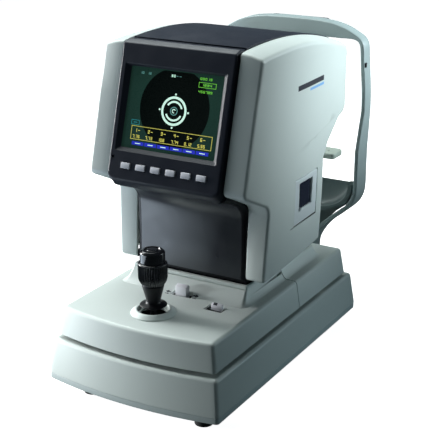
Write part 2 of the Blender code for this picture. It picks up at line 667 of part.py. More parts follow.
def build_bezel(mats):
    """Display bezel: dark hood leaning back, open behind, with the display and key openings."""
    frame = bezel_frame()
    outer = fillet([(*BEZEL_FOOT, 0.007), (-0.142, 0.2815, 0.0), (-0.0840, 0.2850, 0.0),
                    (-0.0840, crest(-0.084), 0.0), (-0.0960, 0.4685, 0.004), (-0.1070, 0.4650, 0.004)], 3)
    bezel = place("front_bezel", prism(outer, "X", -TOP_HALF, TOP_HALF), mats["dark"])
    inner = [(-0.1495, 0.2975), (-0.1400, 0.2850), (-0.0700, 0.2880), (-0.0700, 0.4650), (-0.0960, 0.4650),
             (-0.1030, 0.4610)]
    cut(bezel, prism(inner, "X", -TOP_HALF + WALL, TOP_HALF - WALL))
    left, right, low, high = RECESS
    d_left, d_right, d_low, d_high = DISPLAY
    rings = []
    for depth, x0, x1, s0, s1 in ((-0.002, left, right, low, high), (0.000, left, right, low, high),
                                  (0.0060, d_left, d_right, d_low, d_high)):
        rings.append([(x0, depth, s0), (x1, depth, s0), (x1, depth, s1), (x0, depth, s1)])
    cut_local(bezel, loft(rings), frame)
    for x in key_places():
        width, height = KEY_SIZE
        hole = block((x - width / 2 - 0.0005, -0.010, KEY_HEIGHT - height / 2 - 0.0005),
                     (x + width / 2 + 0.0005, 0.012, KEY_HEIGHT + height / 2 + 0.0005))
        cut_local(bezel, hole, frame)

    panel = block((-0.0725, 0.0063, 0.0430), (0.0725, 0.0135, 0.1530))
    place("display_panel", panel, mats["screen"]).parent = frame
    for number, x in enumerate(key_places(), start=1):
        width, height = KEY_SIZE
        low, high = KEY_HEIGHT - height / 2, KEY_HEIGHT + height / 2
        key = block((x - width / 2, -0.0012, low), (x + width / 2, 0.0055, high), 0.0008)
        place(f"key_{number}", key, mats["white"], (x, 0.0, KEY_HEIGHT), frame)


def cut_local(obj, bm, frame):
    """Cut with a shape drawn in the display plane's own axes."""
    tool = cutter(f"{obj.name}.cut{len(obj.modifiers)}", bm)
    tool.parent = frame
    boolean(obj, tool, "DIFFERENCE")


def key_places():
    return [(k - 2.5) * KEY_PITCH for k in range(6)]


def build_lower_panel(mats):
    """Dark panel under the display, curving forward to meet the bezel."""
    face = [(-0.1400, 0.2810), (-0.1150, 0.2725), (-0.0950, 0.2630), (-0.0830, 0.2510), (-0.0785, 0.2350),
            (-0.0790, 0.1180)]
    back = [(y + 0.0025, z + 0.0004) for y, z in face]
    outline = face + list(reversed(back))
    place("lower_front_panel", prism(outline, "X", -TOP_HALF, TOP_HALF), mats["dark"])


def build_skirt(mats):
    """Sleeve that closes the gap between the head and its well in the stage."""
    wall = 0.002
    outer = opening_ring(0.0810, -0.0745, 0.0870, 0.0)
    inner = opening_ring(0.0810 - wall, -0.0745 + wall, 0.0870 - wall, 0.0)
    rings = []
    for ring, z in ((outer, 0.1120), (outer, 0.1990), (inner, 0.1990), (inner, 0.1120)):
        rings.append([(x, y, z) for x, y, _ in ring])
    place("head_skirt", loft(rings, closed=True), mats["black"])


# ---------------------------------------------------------------- head internals
def build_head_internals(mats):
    shelf = block((-0.0780, -0.0600, 0.1720), (0.0780, 0.0840, 0.1770))
    chassis = place("head_chassis", shelf, mats["alloy"])
    join(chassis, block((-0.0240, COLUMN_Y - 0.0240, 0.1760), (0.0240, COLUMN_Y + 0.0240, 0.2150)))
    for y in (-0.0300, 0.0460):
        join(chassis, block((-0.0200, y - 0.0050, 0.1750), (0.0200, y + 0.0050, OPTIC_Z - 0.0305)))
    slide = COLUMN_HALF + 0.0006
    cut(chassis, block((-slide, COLUMN_Y - slide, 0.160), (slide, COLUMN_Y + slide, 0.230)))
    cut(chassis, rod(0.0046, 0.160, 0.190, (0.0, SCREW_Y, 0.0), steps=12))

    tube = [(0.0240, -0.040), (0.0300, -0.040), (0.0300, 0.150), (0.0240, 0.150)]
    place("optics_tube", turned(tube, (0.0, 0.0, OPTIC_Z), "Y", 28), mats["alloy"])
    nose = [(0.0180, 0.1660), (0.0218, 0.1660), (0.0218, HEAD_REAR_Y + GAP), (0.0250, HEAD_REAR_Y + GAP),
            (0.0240, 0.2000), (0.0215, 0.2030), (0.0180, 0.1900)]
    place("nose_ring", turned(nose, (0.0, 0.0, OPTIC_Z), "Y", 28), mats["dark"])
    lens = [(0.0, 0.1720), (0.0100, 0.1725), (0.0174, 0.1740), (0.0174, 0.1770), (0.0100, 0.1790),
            (0.0, 0.1795)]
    place("objective_lens", turned(lens, (0.0, 0.0, OPTIC_Z), "Y", 28), mats["glass"])
    place("main_board", block((-0.0700, -0.0700, 0.2250), (-0.0684, 0.0700, 0.3400)), mats["board"])
    build_printer(mats)


def build_printer(mats):
    """Side-loading thermal printer: bay, roll on its spindle, platen and the door with its exit slot."""
    y0, y1, z0, z1 = DOOR
    bay = place("printer_bay", block((0.0560, y0 + 0.0020, z0 + 0.0020), (0.1005, y1 - 0.0020, z1 - 0.0020)),
                mats["black"])
    cut(bay, block((0.0580, y0 + 0.0040, z0 + 0.0040), (0.1100, y1 - 0.0040, z1 - 0.0040)))
    roll_y, roll_z = ROLL_CENTRE
    roll = turned([(0.0060, 0.0600), (0.0260, 0.0600), (0.0260, 0.0960), (0.0060, 0.0960)],
                  (0.0, roll_y, roll_z), "X", 24)
    place("paper_roll", roll, mats["paper"], (0.079, roll_y, roll_z))
    platen = rod(0.0040, 0.0600, 0.0985, (0.0, 0.0600, 0.2240), "X", 14)
    place("platen_roller", platen, mats["rubber"], (0.082, 0.0600, 0.2240))

    hinge = (DOOR_HINGE_X, (y0 + y1) / 2, z0)
    door = block((0.1055, y0 + 0.0006, z0 + 0.0006), (0.1180, y1 - 0.0006, z1 - 0.0006), 0.0012)
    for vert in door.verts:
        vert.co.x += head_half_width(vert.co.y, vert.co.z, HEAD_OUTER) - HEAD_OUTER
    door = place("printer_door", door, mats["trim"], hinge)
    cut(door, block((0.1085, y0 + 0.0160, z0 + 0.0160), (0.1300, y1 - 0.0170, z1 - 0.0100), 0.001))


# ---------------------------------------------------------------- assembly
def build_materials():
    return {
        "cover": material("cover_grey", (0.62, 0.66, 0.64), 0.42),
        "frame": material("frame_grey", (0.30, 0.35, 0.36), 0.45),
        "plate": material("plate_grey", (0.45, 0.49, 0.48), 0.50),
        "dark": material("bezel_dark", (0.035, 0.040, 0.060), 0.35),
        "black": material("black_plastic", (0.015, 0.015, 0.018), 0.40),
        "rubber": material("black_rubber", (0.02, 0.02, 0.02), 0.80),
        "steel": material("bright_steel", (0.60, 0.61, 0.62), 0.30, 1.0),
        "alloy": material("cast_alloy", (0.50, 0.51, 0.52), 0.45, 0.9),
        "white": material("white_key", (0.86, 0.86, 0.90), 0.40),
        "trim": material("silver_trim", (0.66, 0.68, 0.70), 0.32),
        "pad": material("soft_pad", (0.08, 0.09, 0.10), 0.75),
        "cup": material("chin_plastic", (0.50, 0.56, 0.50), 0.45),
        "screen": material("display_glass", (0.01, 0.03, 0.03), 0.12),
        "glass": material("lens_glass", (0.08, 0.12, 0.14), 0.05),
        "board": material("circuit_board", (0.02, 0.22, 0.08), 0.50),
        "paper": material("thermal_paper", (0.90, 0.90, 0.88), 0.80),
    }


clear_scene()
MATERIALS = build_materials()
build_base(MATERIALS)
build_face_frame(MATERIALS)
build_chinrest(MATERIALS)
build_carriage(MATERIALS)
build_stage(MATERIALS)
build_joystick(MATERIALS)
build_head_covers(MATERIALS)
build_head_internals(MATERIALS)
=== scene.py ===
"""Looks of the desktop autorefractor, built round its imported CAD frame.

Row frame: metres, +X to the operator's right, -Y towards the operator, +Y towards the patient, +Z up.
"""
from math import atan2, copysign, cos, pi, radians, sin, sqrt, tan, tau

import bmesh
import bpy
from mathutils import Matrix, Vector


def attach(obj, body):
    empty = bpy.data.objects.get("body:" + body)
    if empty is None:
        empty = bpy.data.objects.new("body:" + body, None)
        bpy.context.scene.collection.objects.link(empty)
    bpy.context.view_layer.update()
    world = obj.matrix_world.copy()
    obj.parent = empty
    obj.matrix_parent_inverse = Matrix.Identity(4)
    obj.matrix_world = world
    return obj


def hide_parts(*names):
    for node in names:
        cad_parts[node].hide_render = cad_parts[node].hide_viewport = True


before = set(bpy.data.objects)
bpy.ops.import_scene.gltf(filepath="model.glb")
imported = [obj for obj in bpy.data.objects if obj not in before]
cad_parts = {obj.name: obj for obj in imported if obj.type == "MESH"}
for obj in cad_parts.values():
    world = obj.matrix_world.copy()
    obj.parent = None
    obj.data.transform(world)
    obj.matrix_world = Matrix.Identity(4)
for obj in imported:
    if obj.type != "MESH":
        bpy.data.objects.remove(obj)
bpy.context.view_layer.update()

# ---------------------------------------------------------------- dimensions, as in the CAD model
SIDES = (("left", -1), ("right", 1))
GAP = 0.0003
WALL = 0.003
# Levels of the tiers: (height, half width, front, rear); the front bows out by BOW at its middle.
BASE_LOW = (0.036, 0.1315, -0.236, 0.186)
BASE_TOP = (0.085, 0.1255, -0.2295, 0.18)
STAGE_LOW = (0.0905, 0.1215, -0.225, 0.166)
STAGE_TOP = (0.129, 0.1155, -0.22, 0.1625)
BOW = 0.014
CORNER = 0.0055
TIER_EDGE = 0.0045
STAGE_SEAM_Y = 0.01
SEAM = 0.0019
PLATE_LOW = 0.027
PLATE_INSET = 0.0005
PLATE_SCREWS = [(x, y, 0.0) for x in (-0.105, -0.035, 0.035, 0.105) for y in (-0.215, 0.165)]
CURB_FRONT = -0.1105
CURB_RUN = 0.021
CURB_BEND = 1.7
SILL_RISE = 0.0164
FOOT_RADIUS = 0.0125
FOOT_X = 0.088
FOOT_Y = (-0.1975, 0.15)
STICK_Y = -0.177
LEVER_Y = -0.1055
STAGE_KEY = (0.064, -0.127)
HEAD_INNER = 0.0863
HEAD_OUTER = 0.118
TOP_HALF = 0.084
HEAD_LOW = 0.158
HEAD_REAR_Y = 0.186
HEAD_TOP = 0.469
CREST_Y = -0.025  # where the top is highest
NOTCH_Y, NOTCH_Z = 0.108, 0.335  # inner corner of the notch at the head's rear
REAR_ROUND = 0.022
CREASE_SLOPE = 0.17
OPTIC_Z = 0.38
# The display plane starts at BEZEL_FOOT (y, z) and leans back by BEZEL_LEAN.
# RECESS and DISPLAY are (left, right, low, high) on it.
BEZEL_FOOT = (-0.155, 0.293)
BEZEL_LEAN = atan2(0.048, 0.172)
RECESS = (-0.0765, 0.0745, 0.0395, 0.1525)
DISPLAY = (-0.0665, 0.0665, 0.0475, 0.149)
KEY_PITCH = 0.0228
KEY_HEIGHT = 0.0208
KEY_SIZE = (0.014, 0.0078)
FRAME_SIDE = 0.1235
FRAME_BAND = 0.006
MARK_X = 0.1197
ARCH_LOW = 0.4345
TOP_STAND = 0.0015
CHIN_Y = 0.218
CUP_TOP = 0.256
CUP_HALF = 0.0745
BOWL_HALF = 0.113
BOWL_WALL = 0.005
BOWL_BACK = [(0.0508, 0.133), (0.062, 0.147), (0.0772, 0.1628), (0.0939, 0.1759), (0.106, 0.187),
             (0.1129, 0.198), (0.1162, 0.2105)]
# Printer door: (front, rear, low, high) on the right cover.
DOOR = (-0.004, 0.07, 0.214, 0.28)
DOOR_SEAM = 0.0016
PANEL_FLANGE = 0.012


# ---------------------------------------------------------------- node materials
def tree(name):
    """New node material: itself, its nodes, its links and its shader."""
    mat = bpy.data.materials.new(name)
    mat.use_nodes = True
    nodes = mat.node_tree.nodes
    return mat, nodes, mat.node_tree.links, nodes["Principled BSDF"]


def put(node, **values):
    """Set inputs by name, with _ for the spaces in it."""
    for key, value in values.items():
        node.inputs[key.replace("_", " ")].default_value = value


def noise(nodes, links, scale, detail=3.0, stretch=None):
    """Noise in object space; `stretch` scales the axes for brushed or drawn finishes."""
    place = nodes.new("ShaderNodeTexCoord").outputs["Object"]
    if stretch:
        mapping = nodes.new("ShaderNodeMapping")
        put(mapping, Scale=stretch)
        links.new(place, mapping.inputs["Vector"])
        place = mapping.outputs["Vector"]
    texture = nodes.new("ShaderNodeTexNoise")
    put(texture, Scale=scale, Detail=detail)
    links.new(place, texture.inputs["Vector"])
    return texture.outputs["Fac"]


def remap(nodes, links, value, low, high, start=0.3, end=0.7):
    spread = nodes.new("ShaderNodeMapRange")
    put(spread, From_Min=start, From_Max=end, To_Min=low, To_Max=high)
    links.new(value, spread.inputs["Value"])
    return spread.outputs["Result"]


def blend_colour(nodes, links, factor, first, second):
    mix = nodes.new("ShaderNodeMix")
    mix.data_type = "RGBA"
    for socket, value in ((mix.inputs["Factor"], factor), (mix.inputs[6], first), (mix.inputs[7], second)):
        if hasattr(value, "links"):
            links.new(value, socket)
        else:
            socket.default_value = (*value, 1.0) if isinstance(value, tuple) else value
    return mix.outputs[2]


def tint(colour, gain):
    return tuple(min(c * gain, 1.0) for c in colour)


def surface(name, colour, roughness, grain, depth, variation, wear, metallic=0.0, spread=0.05, coat=0.0,
            sheen=0.0, stretch=None, level=0.5):
    """Moulded, painted or machined surface: cloudy colour, uneven gloss, fine grain and paler worn edges."""
    mat, nodes, links, shader = tree(name)
    cloud = remap(nodes, links, noise(nodes, links, 14.0), 0.0, 1.0)
    base = blend_colour(nodes, links, cloud, tint(colour, 1.0 - variation), tint(colour, 1.0 + variation))
    fleck = remap(nodes, links, noise(nodes, links, grain * 0.6, 1.0, stretch), 0.0, 1.0, 0.35, 0.65)
    fine = blend_colour(nodes, links, fleck, tint(colour, 1.0 - variation * 0.6),
                        tint(colour, 1.0 + variation * 0.6))
    half = blend_colour(nodes, links, 0.4, base, fine)
    edge = remap(nodes, links, nodes.new("ShaderNodeNewGeometry").outputs["Pointiness"], 0.0, wear, 0.53, 0.62)
    links.new(blend_colour(nodes, links, edge, half, tint(colour, 1.35)), shader.inputs["Base Color"])
    smudge = noise(nodes, links, 38.0, 5.0, stretch)
    links.new(remap(nodes, links, smudge, roughness - spread, roughness + spread), shader.inputs["Roughness"])
    bump = nodes.new("ShaderNodeBump")
    put(bump, Strength=0.5, Distance=depth)
    links.new(noise(nodes, links, grain, 2.0, stretch), bump.inputs["Height"])
    links.new(bump.outputs["Normal"], shader.inputs["Normal"])
    put(shader, Metallic=metallic, Coat_Weight=coat, Coat_Roughness=0.12, Sheen_Weight=sheen,
        Specular_IOR_Level=level)
    return mat


def lit(name, colour, strength):
    """Lit display ink with a fine row pattern, like a panel's pixels."""
    mat, nodes, links, shader = tree(name)
    rows = remap(nodes, links, noise(nodes, links, 900.0, 0.0, (1.0, 1.0, 3.0)), 0.0, 1.0)
    ink = blend_colour(nodes, links, rows, tint(colour, 0.85), colour)
    links.new(ink, shader.inputs["Base Color"])
    links.new(ink, shader.inputs["Emission Color"])
    links.new(remap(nodes, links, rows, 0.25, 0.35, 0.0, 1.0), shader.inputs["Roughness"])
    put(shader, Emission_Strength=strength, Specular_IOR_Level=0.15)
    return mat


MATS = {
    # name, colour, roughness, grain, depth of the grain, variation of the colour, wear of the edges
    "cover": surface("cover_plastic", (0.62, 0.68, 0.66), 0.4, 1900.0, 0.00003, 0.02, 0.1),
    "frame": surface("frame_plastic", (0.3, 0.37, 0.375), 0.42, 1900.0, 0.00003, 0.04, 0.15),
    # The bowl's colour is darker than its plastic: painted shade for the shadow that the head casts on it.
    "bowl": surface("bowl_plastic_painted_shade", (0.13, 0.17, 0.17), 0.38, 1900.0, 0.00003, 0.05, 0.15),
    "cone": surface("cone_plastic", (0.008, 0.008, 0.011), 0.34, 1500.0, 0.00003, 0.12, 0.03, level=0.2),
    "plate": surface("plate_paint", (0.52, 0.59, 0.59), 0.45, 1300.0, 0.00005, 0.03, 0.15),
    "dark": surface("graphite_plastic", (0.02, 0.024, 0.036), 0.36, 1700.0, 0.00003, 0.1, 0.05, level=0.25),
    "black": surface("black_plastic", (0.012, 0.012, 0.014), 0.3, 1500.0, 0.00004, 0.12, 0.05),
    "gloss": surface("black_gloss", (0.008, 0.008, 0.011), 0.16, 900.0, 0.00001, 0.1, 0.03, coat=0.4, spread=0.03),
    "grip": surface("grip_plastic", (0.01, 0.011, 0.016), 0.3, 1500.0, 0.00003, 0.12, 0.04, level=0.8),
    "panel": surface("panel_plastic", (0.016, 0.019, 0.028), 0.32, 1500.0, 0.000004, 0.06, 0.03, level=0.8),
    "rubber": surface("black_rubber", (0.016, 0.016, 0.017), 0.78, 1100.0, 0.00009, 0.15, 0.1),
    "steel": surface("ground_steel", (0.56, 0.565, 0.57), 0.3, 900.0, 0.00003, 0.05, 0.2, metallic=1.0,
                     stretch=(1.0, 1.0, 0.06)),
    "alloy": surface("cast_alloy", (0.48, 0.49, 0.5), 0.48, 700.0, 0.00012, 0.05, 0.3, metallic=0.9),
    "white": surface("white_plastic", (0.8, 0.8, 0.86), 0.36, 1500.0, 0.00003, 0.02, 0.05),
    "trim": surface("silver_paint", (0.7, 0.76, 0.78), 0.34, 2400.0, 0.00004, 0.04, 0.2, metallic=0.1),
    "pad": surface("pad_skin", (0.06, 0.066, 0.075), 0.62, 520.0, 0.00022, 0.12, 0.05, sheen=0.2),
    "chin": surface("chin_plastic", (0.47, 0.54, 0.48), 0.4, 1600.0, 0.00004, 0.03, 0.1),
    "lens": surface("coated_lens", (0.02, 0.035, 0.05), 0.06, 300.0, 0.0, 0.2, 0.0, spread=0.02, coat=1.0),
    "board": surface("solder_mask", (0.02, 0.2, 0.08), 0.45, 800.0, 0.00006, 0.25, 0.0),
    "paper": surface("thermal_paper", (0.86, 0.86, 0.83), 0.75, 2200.0, 0.00005, 0.03, 0.0),
    "ink": surface("printed_ink", (0.02, 0.022, 0.035), 0.5, 1800.0, 0.00002, 0.15, 0.0),
    "blue_ink": surface("printed_blue", (0.18, 0.4, 0.72), 0.5, 1800.0, 0.00002, 0.08, 0.0),
    "smoke": surface("smoked_window", (0.01, 0.012, 0.03), 0.1, 900.0, 0.00001, 0.2, 0.0, spread=0.03, coat=0.6),
    "screen": lit("panel_field", (0.02, 0.058, 0.044), 0.34),
    "pupil": lit("panel_pupil", (0.002, 0.005, 0.004), 0.2),
    "mire": lit("panel_mire", (0.62, 0.9, 0.76), 0.8),
    "dim": lit("panel_dim", (0.16, 0.42, 0.38), 0.5),
    "green": lit("panel_green", (0.16, 0.56, 0.06), 0.7),
    "yellow": lit("panel_yellow", (0.62, 0.58, 0.12), 0.8),
    "blue": lit("panel_blue", (0.02, 0.03, 0.42), 0.9),
    "cyan": lit("panel_cyan", (0.03, 0.24, 0.26), 0.6),
}


# ---------------------------------------------------------------- mesh tools
def add_object(name, data):
    obj = bpy.data.objects.new(name, data)
    bpy.context.scene.collection.objects.link(obj)
    return obj


def add_sheet(name, corners, mat):
    mesh = bpy.data.meshes.new(name)
    mesh.from_pydata(corners, [], [range(len(corners))])
    mesh.materials.append(mat)
    return add_object(name, mesh)


def clamp(value, low=0.0, high=1.0):
    return min(max(value, low), high)


def ramp(value, low, high):
    """Smooth step from 0 at low to 1 at high."""
    t = clamp((value - low) / (high - low))
    return t * t * (3 - 2 * t)


def loft(rings, closed=False):
    """Skin over rings of points; closed=True joins the last ring to the first in place of end caps."""
    bm = bmesh.new()
    loops = [[bm.verts.new(point) for point in ring] for ring in rings]
    pairs = list(zip(loops, loops[1:]))
    if closed:
        pairs.append((loops[-1], loops[0]))
    for lower, upper in pairs:
        for i in range(len(lower)):
            j = (i + 1) % len(lower)
            bm.faces.new((lower[i], lower[j], upper[j], upper[i]))
    if not closed:
        bm.faces.new(loops[0])
        bm.faces.new(loops[-1])
    return bm


def lift(outline, axis, level):
    """Put 2-D points on a plane across X, Y or Z."""
    slot = "XYZ".index(axis)
    return [(*point[:slot], level, *point[slot:]) for point in outline]


def fillet(points, steps=8):
    """Round the corners of a 2-D outline; points are (a, b, radius), or (a, b) for a sharp corner."""
    outline = []
    for i, (a, b, *rest) in enumerate(points):
        here, radius = Vector((a, b)), rest[0] if rest else 0.0
        if radius == 0.0:
            outline.append((a, b))
            continue
        to_last = (Vector(points[i - 1][:2]) - here).normalized()
        to_next = (Vector(points[(i + 1) % len(points)][:2]) - here).normalized()
        half = to_last.angle(to_next) / 2
        reach = radius / tan(half)
        centre = here + (to_last + to_next).normalized() * radius / sin(half)
        first = here + to_last * reach - centre
        sweep = first.angle_signed(here + to_next * reach - centre)
        for k in range(steps + 1):
            turn = -sweep * k / steps
            c, s = cos(turn), sin(turn)
            outline.append((centre.x + first.x * c - first.y * s, centre.y + first.x * s + first.y * c))
    return outline


def eased(outline, radius, steps):
    return fillet([(*point, radius) for point in outline], steps)


def rectangle(a0, b0, a1, b1, radius, steps=8):
    return fillet([(a1, b1, radius), (a0, b1, radius), (a0, b0, radius), (a1, b0, radius)], steps)


def path_normals(points, closed):
    normals = []
    last = len(points) - 1
    for i, here in enumerate(points):
        before = Vector(here) - Vector(points[i - 1])
        after = Vector(points[(i + 1) % len(points)]) - Vector(here)
        if not closed and i == 0:
            before = after
        if not closed and i == last:
            after = before
        before, after = before.normalized(), after.normalized()
        normal = (before + after).normalized()
        normal = Vector((-normal.y, normal.x))
        normals.append(normal / max(normal.dot(Vector((-before.y, before.x))), 0.5))
    return normals


def offset(outline, distance, closed=True):
    """Move points to the left of their path, mitred; inwards for an anticlockwise outline."""
    if not distance:
        return list(outline)
    return [(a + n.x * distance, b + n.y * distance)
            for (a, b), n in zip(outline, path_normals(outline, closed))]


def strip(path, thickness):
    """Closed outline of a wall that follows an open path."""
    return path + list(reversed(offset(path, thickness, closed=False)))


def smooth_path(points, steps=5):
    """Catmull-Rom curve through 2-D points."""
    curve = []
    for i in range(len(points) - 1):
        p0, p1 = points[max(i - 1, 0)], points[i]
        p2, p3 = points[i + 1], points[min(i + 2, len(points) - 1)]
        for k in range(steps):
            t = k / steps
            curve.append(tuple(0.5 * (2 * b + (c - a) * t + (2 * a - 5 * b + 4 * c - d) * t ** 2
                                      + (3 * b - a - 3 * c + d) * t ** 3) for a, b, c,
                                      d in zip(p0, p1, p2, p3)))
    curve.append(tuple(points[-1]))
    return curve


def ease_steps(edge, steps=4):
    """(distance from the end, inset) pairs of a quarter-round edge."""
    turns = [pi / 2 * k / steps for k in range(steps + 1)]
    return [(edge * (1 - sin(t)), edge * (1 - cos(t))) for t in reversed(turns)]


def pillow(outline, axis, start, end, edge=0.0, steps=4):
    """Prism whose two end faces have rounded rims."""
    if edge == 0.0:
        return loft([lift(outline, axis, start), lift(outline, axis, end)])
    area = sum(a[0] * b[1] - b[0] * a[1] for a, b in zip(outline, outline[1:] + outline[:1]))
    sign = 1.0 if area > 0 else -1.0
    rims = ease_steps(edge, steps)
    rings = [lift(offset(outline, sign * inset), axis, start + depth) for depth, inset in rims]
    rings += [lift(offset(outline, sign * inset), axis, end - depth) for depth, inset in reversed(rims)]
    return loft(rings)


def block(low, high, corner=0.001, edge=0.001, axis="Z", steps=3):
    """Rounded box: `corner` rounds the edges along the axis and `edge` the rims of the end faces."""
    slot = "XYZ".index(axis)
    a0, b0 = [v for i, v in enumerate(low) if i != slot]
    a1, b1 = [v for i, v in enumerate(high) if i != slot]
    return pillow(rectangle(a0, b0, a1, b1, corner, steps), axis, low[slot], high[slot], edge, steps)


def turned(profile, centre=(0.0, 0.0, 0.0), axis="Z", steps=64, ribs=None):
    """Revolve (radius, height) points; ribs = (count, depth, low, high) flutes part of the wall."""
    solid = profile[0][0] == 0.0 and profile[-1][0] == 0.0
    rings = []
    for radius, height in (profile[1:-1] if solid else profile):
        ring = []
        for k in range(steps):
            turn = tau * k / steps
            r = radius
            if ribs and ribs[2] <= height <= ribs[3]:
                r -= ribs[1] * (0.5 - 0.5 * cos(turn * ribs[0])) ** 0.6
            ring.append((r * cos(turn), r * sin(turn), height))
        rings.append(ring)
    bm = loft(rings, closed=not solid)
    if axis == "X":
        bmesh.ops.rotate(bm, verts=bm.verts, matrix=Matrix.Rotation(radians(90), 3, "Y"))
    if axis == "Y":
        bmesh.ops.rotate(bm, verts=bm.verts, matrix=Matrix.Rotation(radians(-90), 3, "X"))
    bmesh.ops.translate(bm, vec=Vector(centre), verts=bm.verts)
    return bm


def rod(radius, start, end, centre=(0.0, 0.0, 0.0), axis="Z", steps=48):
    return turned([(0.0, start), (radius, start), (radius, end), (0.0, end)], centre, axis, steps)


def in_plane(bm):
    """Carry a shape from the display plane's axes (X, depth, height) into the row frame."""
    bmesh.ops.rotate(bm, verts=bm.verts, matrix=Matrix.Rotation(-BEZEL_LEAN, 3, "X"))
    bmesh.ops.translate(bm, verts=bm.verts, vec=(0.0, *BEZEL_FOOT))
    return bm


def merge(*parts):
    """One mesh out of several closed shapes."""
    whole = parts[0]
    for bm in parts[1:]:
        mesh = bpy.data.meshes.new("part")
        bm.to_mesh(mesh)
        bm.free()
        whole.from_mesh(mesh)
        bpy.data.meshes.remove(mesh)
    return whole


def finish_mesh(mesh, angle):
    mesh.shade_smooth()
    mesh.set_sharp_from_angle(angle=radians(angle))


def as_object(name, bm):
    bmesh.ops.remove_doubles(bm, verts=bm.verts, dist=1e-6)
    bmesh.ops.recalc_face_normals(bm, faces=bm.faces)
    mesh = bpy.data.meshes.new(name)
    bm.to_mesh(mesh)
    bm.free()
    return add_object(name, mesh)


def apply_modifiers(obj):
    graph = bpy.context.evaluated_depsgraph_get()
    mesh = bpy.data.meshes.new_from_object(obj.evaluated_get(graph))
    obj.modifiers.clear()
    old = obj.data
    obj.data = mesh
    bpy.data.meshes.remove(old)


def carve(obj, bm, operation="DIFFERENCE"):
    """Cut a shape out of an object, or join or intersect the two."""
    tool = as_object("tool", bm)
    mod = obj.modifiers.new("carve", "BOOLEAN")
    mod.object = tool
    mod.operation = operation
    mod.solver = "EXACT"
    apply_modifiers(obj)
    mesh = tool.data
    bpy.data.objects.remove(tool)
    bpy.data.meshes.remove(mesh)
    return obj


def cut_box(obj, low, high, corner=0.0, axis="Z"):
    carve(obj, block(low, high, corner, 0.0, axis))


def piece(obj, mat, body, nodes=(), angle=30):
    """Give a finished shape its material, body and the CAD nodes that it stands for."""
    if isinstance(obj, tuple):
        obj = as_object(*obj)
    obj.data.materials.clear()
    obj.data.materials.append(MATS[mat])
    finish_mesh(obj.data, angle)
    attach(obj, body)
    if nodes:
        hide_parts(*([nodes] if isinstance(nodes, str) else nodes))
    return obj


# ---------------------------------------------------------------- tiers
def between(low, high, z):
    """Level of a tier at height z."""
    t = (z - low[0]) / (high[0] - low[0])
    return tuple(a + (b - a) * t for a, b in zip(low, high))


def tier_outline(level, inset=0.0, bow_points=28):
    _, half, front, rear = level
    half, front, rear = half - inset, front + inset, rear - inset
    radius = max(CORNER - inset, 0.002)
    corners = [(half, rear, radius), (-half, rear, radius), (-half, front, radius)]
    for k in range(1, bow_points):
        x = -half + 2 * half * k / bow_points
        corners.append((x, front - BOW * (1 - (x / half) ** 2), 0.0))
    corners.append((half, front, radius))
    return fillet([c for c in corners if c[2] or abs(c[0]) < half - 1.3 * radius])


def tier_ring(low, high, z, inset=0.0):
    return lift(tier_outline(between(low, high, z), inset), "Z", z)


def tier_shell(low, high, edge_steps=6):
    """Hollow tier, open below, with a rounded upper edge."""
    rings = [tier_ring(low, high, high[0] - WALL, WALL), tier_ring(low, high, low[0], WALL),
             tier_ring(low, high, low[0], 0.0006), tier_ring(low, high, low[0] + 0.0006)]
    for k in range(edge_steps + 1):
        turn = pi / 2 * k / edge_steps
        z = high[0] - TIER_EDGE * (1 - sin(turn))
        rings.append(tier_ring(low, high, z, TIER_EDGE * (1 - cos(turn))))
    return loft(rings)


